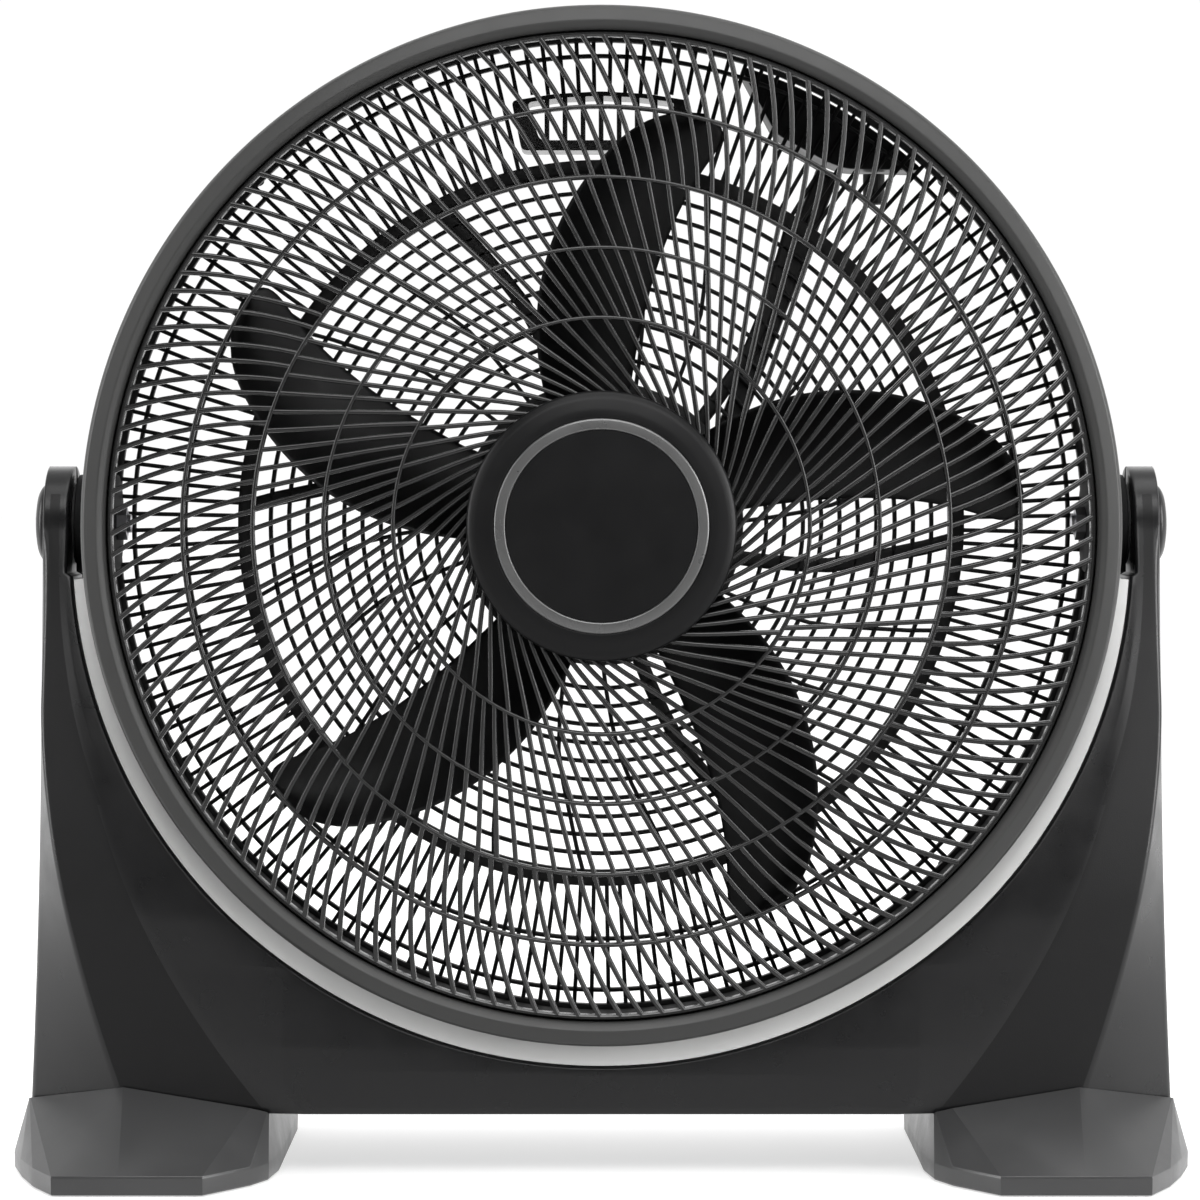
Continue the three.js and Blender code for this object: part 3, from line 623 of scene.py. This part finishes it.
def bladeSet():
    # each station is a thin lens across the chord; its two edge angles are smooth curves of the radius
    b = blades
    share = np.linspace(0, 1, b["stations"])
    share = 1 - (1 - share) ** 1.25
    radius = (b["root"] + (b["tip"] - b["root"]) * share)
    r = radius / mm
    leading = 6.5 - np.where(r > 100, ((r - 100) / 45) ** 2, ((100 - r) / 34) ** 2)
    trailing = 49 - 0.06 * r - 0.00052 * r ** 2
    tipShare = np.clip((r - 200) / (b["tip"] / mm - 200), 0, 1)
    trimming = 1 - np.sqrt(np.maximum(0, 1 - tipShare ** 3.2))
    middleAngle = leading + (trailing - leading) * 0.42
    leading = leading + (middleAngle - leading) * trimming * 0.95
    trailing = trailing + (middleAngle - trailing) * trimming * 0.95
    turn = np.linspace(0, 2 * np.pi, b["around"], endpoint=False)
    across = (1 - np.cos(turn)) / 2
    side = np.sign(np.sin(turn)) * np.abs(np.sin(turn)) ** 0.6
    angle = np.radians(leading[:, None] + (trailing - leading)[:, None] * across[None])
    lift = b["rise"] * (1 - 0.35 * share[:, None]) * (0.5 - across[None])
    camber = 6 * mm * np.sin(np.pi * across)[None] * (1 - 0.3 * share[:, None])
    thin = b["thickness"] / 2 * (1.25 - 0.55 * share[:, None]) * side[None]
    y = b["middle"] + lift + camber + thin
    spins = 2 * np.pi * np.arange(b["count"]) / b["count"]
    points = headPoint(radius[None, :, None], angle[None] + spins[:, None, None], y[None])
    single = gridQuads(b["stations"], b["around"], wrapColumns=True)
    size = b["stations"] * b["around"]
    quads = (single[None] + (np.arange(b["count"]) * size)[:, None, None]).reshape(-1, 4).tolist()
    for k in range(b["count"]):
        quads.append(list(range(k * size, k * size + b["around"])))
        quads.append(list(range((k + 1) * size - b["around"], (k + 1) * size)))
    return points, quads


hubProfile = rounded(np.array([
    [4.35, -74], [20, -74], [33, -72], [38, -66], [38, -36], [35.4, -36], [35.4, -63], [12, -68],
    [12, -40], [4.35, -40],
]) * mm, 1.2 * mm, 3)
fitOut(makeObject("FanBlades", [bladeSet(), turned(hubProfile, 96, centre=centre)], sharpAngle=50),
       finishes["blade"], "blade_set", ["fan_blade"])
nutProfile = rounded(np.array([[0, -92], [8, -91], [14, -87], [16, -80], [16, -74.3], [0, -74.3]]) * mm,
                     1.5 * mm, 3, closed=False)
fitOut(makeObject("BladeNut", [turned(nutProfile, 48, centre=centre, loop=False)]), finishes["black"],
       "blade_set", ["blade_nut"])
print("blades made")


# stand shells

stand = {
    "seat": 283 * mm,             # radius of the concave seat
    "lip": 2 * mm,                # round-over of the seat's front edge
    "armInside": 284.8 * mm,
    "armRound": 31 * mm,
    "wall": 3 * mm,
    "bottom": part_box("stand_front_shell")[0].z,
    "seam": 0.04 * mm,
    "fold": 166 * mm,             # half width of the panel's flat middle
    "flankRound": 2.5 * mm,
    "panelRound": 5 * mm,
    "sideRound": 3.5 * mm,
}


def standPlan(height, inset=0.0):
    # half widths and half depths at a height: side face, flank crease and front panel crease
    z = np.asarray(height, float) / mm
    low = np.clip((300 - z) / 267, 0, 1)
    sideX = 299 + 5.5 * low ** 2
    sideY = 31 + 3 * low
    flankX = sideX - 2.5 - 52 * np.clip(1 - (z - 33) / 215, 0, 1) ** 1.7
    flankY = 31 + 35 * (1 - (1 - np.clip((341 - z) / 196, 0, 1)) ** 1.3)
    panelX = sideX - 14 - 116.5 * np.clip(1 - (z - 33) / 340, 0, 1) ** 2.6
    panelY = 31 + 45 * (1 - (1 - np.clip((341 - z) / 206, 0, 1)) ** 1.35)
    return [value * mm - inset for value in (sideX, sideY, flankX, flankY, panelX, panelY)]


def foldDrop(height):
    # below the seat the panel's middle stands a little forward of its wings
    return 2.6 * mm * np.clip((108 * mm - height) / (40 * mm), 0, 1)


def frontDepth(x, height):
    # how far forward the front face is at a place: panel, then the facets out to the side
    sideX, sideY, flankX, flankY, panelX, panelY = standPlan(height)
    fold = foldDrop(height)
    toPanel = panelY + fold - fold * np.clip((x - stand["fold"]) / (panelX - stand["fold"]), 0, 1)
    toFlank = toPanel + (flankY - panelY) * np.clip((x - panelX) / (flankX - panelX), 0, 1)
    beyond = flankY + (sideY - flankY) * np.clip((x - flankX) / np.maximum(sideX - flankX, 1e-6), 0, 1)
    return np.where(x > flankX, beyond, toFlank)


def standHalf():
    # right half of the front shell: rows run down the arm, round the seat and down to the lower edge
    s = stand
    topTurn = np.linspace(np.pi / 2 - 0.02, 0, 18)
    seatStart = math.asin(28 * mm / (s["seat"] + s["lip"]))
    seatTurn = np.linspace(seatStart, np.pi / 2, 84)
    lowerZ = np.linspace(axisHeight - s["seat"] - s["lip"], s["bottom"] + 1.5 * mm, 8)[1:]
    edgeTurn = np.linspace(0, np.pi / 2, 4)[1:]
    upper = np.linspace(0, 26 * mm, 8)[1:]
    seatZ = axisHeight - (s["seat"] + s["lip"]) * np.sin(seatTurn)
    height = np.concatenate([axisHeight + s["armRound"] * np.sin(topTurn), axisHeight - upper, seatZ,
                             lowerZ, s["bottom"] + 1.5 * mm * (1 - np.sin(edgeTurn))])
    inset = np.concatenate([np.zeros(len(height) - len(edgeTurn)), 1.5 * mm * (1 - np.cos(edgeTurn))])
    limit = np.concatenate([s["armRound"] * np.cos(topTurn), np.full(len(height) - len(topTurn), 1.0)])
    arms = len(topTurn) + len(upper)
    inside = np.zeros(len(height))
    inside[:arms] = s["armInside"] + s["lip"]
    inside[arms:arms + len(seatTurn)] = (s["seat"] + s["lip"]) * np.cos(seatTurn)

    sideX, sideY, flankX, flankY, panelX, panelY = standPlan(height, inset)
    start = frontDepth(inside, height) - inset
    creaseX = np.maximum(panelX, inside + 0.4 * (flankX - inside))
    creaseY = np.where(panelX > inside + 0.4 * (flankX - inside), panelY,
                       frontDepth(creaseX, height) - inset)
    middleX = np.clip(s["fold"], inside + (creaseX - inside) * 0.04, inside + (creaseX - inside) * 0.9)
    middleX = np.where(height < 110 * mm, middleX, inside + (creaseX - inside) * 0.5)
    middleY = frontDepth(middleX, height) - inset
    corners = np.stack([
        np.stack([inside, start], -1), np.stack([middleX, middleY], -1), np.stack([creaseX, creaseY], -1),
        np.stack([flankX, flankY], -1), np.stack([sideX, sideY], -1),
        np.stack([sideX, np.full_like(sideX, s["seam"])], -1),
    ], axis=1)
    corners[..., 1] = np.minimum(corners[..., 1], np.maximum(limit, s["seam"])[:, None])
    radii = np.array([0, 1 * mm, s["panelRound"], s["flankRound"], s["sideRound"], 0])
    plan = rounded(corners, radii[None], 5, closed=False)
    front = np.stack([plan[..., 0], -plan[..., 1],
                      np.broadcast_to(height[:, None], plan.shape[:2])], -1)
    frontPart = (front, gridQuads(*front.shape[:2]))

    # the lip rolls from the front face into the seat, then the seat runs back to the seam
    roll = np.linspace(0, np.pi / 2, 5)
    rows = arms + len(seatTurn)
    depth = np.minimum(start[:rows], np.maximum(limit[:rows], s["seam"]))
    inward = s["lip"] * np.sin(roll)
    back = np.minimum(s["lip"] * (1 - np.cos(roll)), 1)
    y = -np.maximum(depth[:, None] - back[None], s["seam"])
    armX = np.broadcast_to(s["armInside"] + s["lip"] - inward, (arms, 5))
    seatRadius = s["seat"] + s["lip"] - inward
    x = np.concatenate([armX, seatRadius[None] * np.cos(seatTurn)[:, None]])
    z = np.concatenate([np.broadcast_to(height[:arms, None], (arms, 5)),
                        axisHeight - seatRadius[None] * np.sin(seatTurn)[:, None]])
    x = np.concatenate([x, x[:, -1:], x[:, -1:]], axis=1)
    z = np.concatenate([z, z[:, -1:], z[:, -1:]], axis=1)
    y = np.concatenate([y, y[:, -1:] / 2, np.full((rows, 1), -s["seam"])], axis=1)
    lip = np.stack([x, y, z], -1)
    return [frontPart, (lip, gridQuads(*lip.shape[:2])[:, ::-1])]


def mirrored(parts, axis):
    # the same faces on the other side of a plane, wound the other way
    turnedParts = []
    for points, quads in parts:
        other = np.array(points)
        other[..., axis] *= -1
        turnedParts.append((other, np.asarray(quads)[:, ::-1]))
    return turnedParts


def paintedShadeFacets(mesh):
    # 1 for the faces between the two creases, which get the darker copy of the stand plastic: painted shade
    middle = np.empty(len(mesh.polygons) * 3)
    mesh.polygons.foreach_get("center", middle)
    x, y, z = np.abs(middle.reshape(-1, 3)).T
    sideX, sideY, flankX, flankY, panelX, panelY = standPlan(z)
    drop = np.maximum(axisHeight - z, 0)
    inside = np.sqrt(np.maximum((stand["seat"] + stand["lip"]) ** 2 - drop ** 2, 0))
    crease = np.maximum(panelX, inside + 0.4 * (flankX - inside))
    outside = (z > 33 * mm) & (y > frontDepth(x, z) - 4 * mm)
    return ((x > crease) & (x < flankX - 1.5 * mm) & outside).astype(np.int32)


half = standHalf()
whole = half + mirrored(half, 0)
for shellName, parts, direction, node in (
    ("StandFrontShell", whole, (0, -1, 0), "stand_front_shell"),
    ("StandRearShell", mirrored(whole, 1), (0, 1, 0), "stand_rear_shell"),
):
    shell = makeObject(shellName, parts, sharpAngle=28, recalculate=False,
                       outward=Vector(direction))
    finishModifier(shell, "SOLIDIFY", thickness=stand["wall"], offset=-1, use_even_offset=False)
    fitOut(shell, finishes["stand"], "stand", [node])
    # the facets between the creases take the darker copy of the plastic: painted shade
    shell.data.materials.append(finishes["shadedFacet"])
    shell.data.polygons.foreach_set("material_index", paintedShadeFacets(shell.data))
print("stand shells made")


# silver seat band

band = {
    "outer": 282.7 * mm,
    "inner": 272.0 * mm,          # inner edge of the front flange
    "lining": 281.2 * mm,
    "thick": 3 * mm,
    "top": 29.3 * mm,             # how far below the tilt axis it stops
}


def seatBand():
    # an L-shaped section carried round the seat: a front flange and a lining back to the rear edge
    b = band
    radius = np.array([b["outer"], b["inner"], b["inner"], b["lining"], b["lining"], b["outer"]])
    start = math.asin(b["top"] / b["lining"])
    turn = np.linspace(-start, -math.pi + start, 260)[:, None]
    depth = frontDepth(np.abs(radius * np.cos(turn)), axisHeight + radius * np.sin(turn)) - 1.0 * mm
    along = np.stack([0.1 * mm - depth[:, 0], 1.3 * mm - depth[:, 1], 1.3 * mm + b["thick"] - depth[:, 2],
                      0.6 * mm + b["thick"] - depth[:, 3], depth[:, 4], depth[:, 5]], -1)
    section = rounded(np.stack([np.broadcast_to(radius, along.shape), along], -1), 0.7 * mm, 3)
    points = headPoint(section[..., 0], turn, section[..., 1])
    count = section.shape[1]
    quads = gridQuads(len(turn), count, wrapColumns=True).tolist()
    quads.append(list(range(count)))
    quads.append(list(range((len(turn) - 1) * count, len(turn) * count)))
    return points, quads


fitOut(makeObject("CradleTrim", [seatBand()], sharpAngle=50), finishes["silver"], "stand",
       ["cradle_trim"])


# feet

foot = {
    "edge": 10.6 * mm,
    "low": 0.7 * mm,
    "under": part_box("foot_right")[1].z,
    # corners from the middle of the inner side round the front: crown x, y, z and edge x, y
    "corners": [
        (174, -30, 32.7, 169.5, -30), (174, -60, 32.7, 169.5, -62), (174, -77.6, 33.4, 173, -88),
        (175, -78, 34.5, 181, -105), (184, -76.8, 36.3, 203, -132.5), (251, -67.4, 45.8, 246, -132.5),
        (304.2, -35.8, 35.2, 280, -132.5), (304.7, -35.2, 35.0, 293, -108), (305, -34.6, 34.8, 303, -80),
        (305.2, -33, 34, 310, -54), (305.3, -28, 33, 312.5, -30),
    ],
}


def footParts(side):
    # rows: under the stand, up its outside, down the facets, round the edge and in underneath
    f = foot
    frontHalf = np.array(f["corners"], float) * mm
    loop = np.concatenate([frontHalf, frontHalf[::-1] * [1, -1, 1, 1, -1]])
    crown, crownZ, edge = loop[:, :2], loop[:, 2], loop[:, 3:]
    heart = np.array([243 * mm, 0])

    def shrunk(outline, by):
        away = outline - heart
        length = np.linalg.norm(away, axis=-1, keepdims=True)
        return heart + away * (1 - by / length)

    under = np.full(len(loop), f["under"])
    rows = [
        (shrunk(crown, 5 * mm), under), (crown, under), (crown, np.maximum(crownZ - 0.4 * mm, under)),
        (shrunk(crown, -0.5 * mm), np.maximum(crownZ, under)), (edge, under * 0 + f["edge"]),
        (shrunk(edge, -0.3 * mm), under * 0 + f["edge"] - 1.2 * mm), (edge, under * 0 + f["low"] + 1 * mm),
        (shrunk(edge, 0.8 * mm), under * 0 + f["low"]), (shrunk(edge, 5 * mm), under * 0 + f["low"]),
        (shrunk(edge, 6 * mm), under * 0 + 7 * mm),
    ]
    points = np.stack([np.column_stack([outline * [side, 1], z]) for outline, z in rows])
    count = len(loop)
    quads = gridQuads(len(rows), count, wrapColumns=True).tolist()
    quads.append(list(range(count)))
    quads.append(list(range((len(rows) - 1) * count, len(rows) * count)))
    return [(points, quads)]


for side, sideName in ((-1, "left"), (1, "right")):
    made = makeObject(f"Foot{sideName.title()}", footParts(side), sharpAngle=20)
    softenEdges(made, 0.8 * mm, 3, sharperThan=14)
    fitOut(made, finishes["foot"], "stand", [f"foot_{sideName}"])
print("seat band and feet made")


# pivots

bossProfile = rounded(np.array([[5.5, 262], [26.5, 262], [26.5, 282.8], [5.5, 282.8]]) * mm, 0.9 * mm, 3)
capProfile = rounded(np.array([
    [0, 306], [10, 305.5], [17, 304.2], [20.6, 302.0], [21.3, 299.4], [19.4, 299.4], [18, 302], [0, 303.6],
]) * mm, 1.6 * mm, 4, closed=False)
for side, sideName in ((-1, "left"), (1, "right")):
    turnedBoss = turned(bossProfile * [1, side], 72, "x", centre)
    fitOut(makeObject(f"PivotBoss{sideName.title()}", [turnedBoss]), finishes["drum"], "head",
           [f"pivot_boss_{sideName}"])
    turnedCap = turned(capProfile * [1, side], 96, "x", centre, loop=False)
    fitOut(makeObject(f"PivotCap{sideName.title()}", [turnedCap]), finishes["stand"], "stand",
           [f"pivot_cap_{sideName}"])


# carry handle

handle = {
    "outer": [(-43.4, 203.5), (43.4, 203.5), (49, 230.6), (25, 234.4), (0, 235.8), (-25, 234.4),
              (-49, 230.6)],
    "inner": [(-33.5, 209), (33.5, 209), (40.5, 229.6), (20, 232.3), (0, 233.2), (-20, 232.3),
              (-40.5, 229.6)],
    "bars": 7,
    "pitch": 9.85 * mm,
    "barWidth": 2.7 * mm,
}
h = handle
outerLoop = rounded(np.array(h["outer"]) * mm, 3 * mm, 4)
innerLoop = rounded(np.array(h["inner"]) * mm, 3 * mm, 4)
sides = [(outerLoop, handleLow.y), (outerLoop, handleHigh.y), (innerLoop, handleHigh.y),
         (innerLoop + [0, 0.5 * mm], handleLow.y + 3 * mm), (innerLoop, handleLow.y)]
framePoints = np.stack([placed(loop[:, 0], loop[:, 1], np.full(len(loop), y), "y", centre)
                        for loop, y in sides])
frameShape = (framePoints, gridQuads(len(sides), len(outerLoop), wrapRows=True, wrapColumns=True))
barX = (np.arange(h["bars"]) - (h["bars"] - 1) / 2) * h["pitch"]
barZ = np.linspace(207.5 * mm, 234.2 * mm, 5)
barPaths = placed(barX[:, None] + 0 * barZ, barZ[None] - np.clip((barZ - 225 * mm), 0, 1)[None]
                  / (9.2 * mm) * barX[:, None] ** 2 / (470 * mm), handleLow.y + 0.4 * mm, "y", centre)
barAcross = np.broadcast_to([1.0, 0, 0], barPaths.shape)
guard = sweptBars(barPaths, barAcross, ribSection(h["barWidth"], 3 * mm))
made = makeObject("CarryHandle", [frameShape, guard])
softenEdges(made, 0.5 * mm, 2)
fitOut(made, finishes["grille"], "head", ["carry_handle"])


# control housing, cover, duct and knob

control = {
    "arcRadius": 262.5 * mm,
    "arc": (47.5, 73.2),
    "corners": [(96, 213.5), (123, 198.8), (134, 194.4)],
    "rounding": 5 * mm,
    "dialRadius": 19.5 * mm,
    "dialMarks": "0123",
    "dialStep": 45,
    "markHeight": 6 * mm,
}
c = control
arcAngle = np.radians(np.linspace(*c["arc"], 14))
housingOutline = np.concatenate([
    np.stack([c["arcRadius"] * np.cos(arcAngle), c["arcRadius"] * np.sin(arcAngle)], -1),
    np.array(c["corners"]) * mm,
])
cornerRadii = np.full(len(housingOutline), 0.1 * mm)
cornerRadii[[0, 13, 14, 16]] = c["rounding"]
housingOutline = rounded(housingOutline, cornerRadii, 5)
for name, node, edge in (("ControlHousing", "control_housing", 2.2 * mm),
                         ("ControlCover", "control_cover", 1.0 * mm)):
    low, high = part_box(node)
    made = makeObject(name, [prism(housingOutline, low.y, high.y, "y", centre)])
    softenEdges(made, edge, 4)
    fitOut(made, finishes["black" if node == "control_housing" else "badge"], "head",
           [node])

ductLow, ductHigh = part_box("wire_duct")
ductLine = np.array([[66.6, 42.0], [125.0, 193.6]]) * mm
ductDirection = (ductLine[1] - ductLine[0]) / np.linalg.norm(ductLine[1] - ductLine[0])
ductSide = np.array([ductDirection[1], -ductDirection[0]]) * 6.5 * mm
ductOutline = np.array([ductLine[0] - ductSide, ductLine[0] + ductSide + ductDirection * 3 * mm,
                        ductLine[1] + ductSide, ductLine[1] - ductSide])
made = makeObject("WireDuct", [prism(ductOutline, ductLow.y, ductHigh.y, "y", centre)])
softenEdges(made, 2 * mm, 4)
fitOut(made, finishes["black"], "head", ["wire_duct"])

knobJoint = next(joint for joint in frame["joints"] if joint["name"] == "knob_turn")
knobX, knobZ = knobJoint["pos_m"][0], knobJoint["pos_m"][2]
knobLow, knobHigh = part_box("speed_knob")
knobCentre = (knobX, 0, knobZ)
skirt = rounded(np.array([[0, 14.4], [9.2, 14.4], [10.4, 13.2], [11.4, 4.6], [13, 3.4], [13, 0.2], [11, 0],
                          [3.4, 0]]) * mm + [0, knobLow.y], 0.7 * mm, 3, closed=False)
fingerOutline = rounded(np.array([[-2.3, -12.8], [2.3, -12.8], [2.3, 12.8], [-2.3, 12.8]]) * mm, 1.6 * mm, 4)
finger = prism(fingerOutline, knobLow.y + 4.2 * mm, knobHigh.y, "y", knobCentre)
made = makeObject("SpeedKnob", [turned(skirt, 72, centre=knobCentre, loop=False), finger])
softenEdges(made, 0.8 * mm, 3)
fitOut(made, finishes["grille"], "knob", ["speed_knob"])
pointerOutline = np.array([[-0.5, 4], [0.5, 4], [0.5, 12.2], [-0.5, 12.2]]) * mm
pointer = makeObject("KnobPointer", [prism(pointerOutline, knobHigh.y - 0.1 * mm, knobHigh.y + 0.15 * mm,
                                           "y", knobCentre)])
fitOut(pointer, finishes["mark"], "knob")


def dialMark(character, degrees):
    # a generic number on the cover, read from behind; degrees clockwise from the top as seen there
    curve = bpy.data.curves.new(f"DialText{character}", "FONT")
    curve.body = character
    curve.size = control["markHeight"]
    curve.align_x, curve.align_y = "CENTER", "CENTER"
    holder = bpy.data.objects.new(f"DialText{character}", curve)
    bpy.context.scene.collection.objects.link(holder)
    mesh = bpy.data.meshes.new_from_object(holder.evaluated_get(bpy.context.evaluated_depsgraph_get()))
    bpy.data.objects.remove(holder)
    flat = np.empty(len(mesh.vertices) * 3)
    mesh.vertices.foreach_get("co", flat)
    flat = flat.reshape(-1, 3)
    turn = math.radians(degrees)
    x = knobX - control["dialRadius"] * math.sin(turn) - flat[:, 0]
    z = knobZ + control["dialRadius"] * math.cos(turn) + flat[:, 1]
    y = np.full(len(flat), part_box("control_cover")[1].y + 0.06 * mm)
    mesh.vertices.foreach_set("co", np.stack([x, y, z], -1).ravel())
    mesh.materials.clear()
    mark = bpy.data.objects.new(f"DialMark{character}", mesh)
    bpy.context.scene.collection.objects.link(mark)
    fitOut(mark, finishes["mark"], "head")


for k, character in enumerate(control["dialMarks"]):
    dialMark(character, -k * control["dialStep"])
print("handle and controls made")


# motor cover with vents

cover = {"ventBars": 60, "ventFrom": 5 * mm, "ventTo": 20 * mm, "barWidth": 4.2 * mm, "wall": 2.4 * mm}
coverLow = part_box("motor_cover")[0]
v = cover
capShape = rounded(np.array([
    [0, 41.4], [30, 40.6], [52, 36.5], [66, 29.5], [72.4, 22.5], [73.2, 20], [70.8, 20], [69.8, 22],
    [64, 27.2], [50, 34.2], [0, 38.8],
]) * mm + [0, coverLow.y], 2 * mm, 4, closed=False)
baseRing = rounded(np.array([[71.4, 0], [74, 0], [74, 4.2], [73.6, 5.4], [71.4, 5.4]]) * mm
                   + [0, coverLow.y], 0.6 * mm, 2)
grooves = [rounded(np.array([[r - 0.9, 0], [r + 0.9, 0], [r + 0.7, 1.0], [r - 0.7, 1.0]]) * mm
                   + [0, coverLow.y + d * mm], 0.3 * mm, 2) for r, d in ((40, 38.2), (46, 36.8))]
ventAngle = 2 * np.pi * np.arange(v["ventBars"]) / v["ventBars"]
ventY = np.linspace(v["ventFrom"], v["ventTo"] + 0.6 * mm, 3) + coverLow.y
ventRadius = np.array([73.7, 73.5, 72.9]) * mm
ventPaths = headPoint(ventRadius[None], ventAngle[:, None], ventY[None])
ventAcross = sideways(ventAngle)[:, None] * np.ones((1, 3, 1))
ventDeep = -outwards(ventAngle)[:, None] * np.ones((1, 3, 1))
vents = sweptBars(ventPaths, ventAcross, ribSection(v["barWidth"], v["wall"]), ventDeep)
coverParts = [turned(capShape, 128, centre=centre, loop=False), turned(baseRing, 128, centre=centre), vents]
coverParts += [turned(loop, 96, centre=centre) for loop in grooves]
fitOut(makeObject("MotorCover", coverParts), finishes["black"], "head", ["motor_cover"])


# screws with a cross recess

def screwHead(radius, height, place):
    # rings from the bottom of the recess out and round the head; the recess radius varies as |cos 2a|
    turn = np.linspace(0, 2 * np.pi, 48, endpoint=False)
    cross = 0.22 + 0.42 * np.abs(np.cos(2 * turn)) ** 3
    rings = [(0.02 + 0 * turn, 0.45), (cross * 0.9, 0.45), (cross, 0.98), (0.7 + 0 * turn, 0.97),
             (0.9 + 0 * turn, 0.85), (1 + 0 * turn, 0.5), (1 + 0 * turn, 0.0), (0.02 + 0 * turn, 0.0)]
    r = np.stack([ring[0] for ring in rings]) * radius
    along = np.array([ring[1] for ring in rings])[:, None] * height
    points = placed(r * np.cos(turn), r * np.sin(turn), along + 0 * r, "y", place)
    count = len(turn)
    faces = gridQuads(len(rings), count, wrapColumns=True).tolist()
    return points, faces + [list(range(count)), list(range((len(rings) - 1) * count, len(rings) * count))]


for k in range(1, 5):
    low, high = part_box(f"grille_screw_{k}")
    middle = (low + high) / 2
    head = screwHead(2.9 * mm, 2.4 * mm, (middle.x, low.y, middle.z))
    fitOut(makeObject(f"GrilleScrew{k}", [head]), finishes["steel"], "head", [f"grille_screw_{k}"])
print("motor cover and screws made")


# carried-over CAD nodes get their finishes

slotFinish = {
    "charcoal_plastic": "stand", "black_plastic": "black", "silver_trim": "silver",
    "gunmetal_trim": "bezel", "steel": "steel", "aluminium": "cast", "copper": "copper",
    "rubber": "rubber", "switch_body": "switch",
}
slotOf = {part["node"]: part["material_slot"] for part in frame["record"]["subparts"]}
for nodeName, node in frame["nodes"].items():
    if node.hide_render:
        continue
    node.data.materials.clear()
    node.data.materials.append(finishes[slotFinish[slotOf[nodeName]]])
print("finishes given to the carried-over nodes")
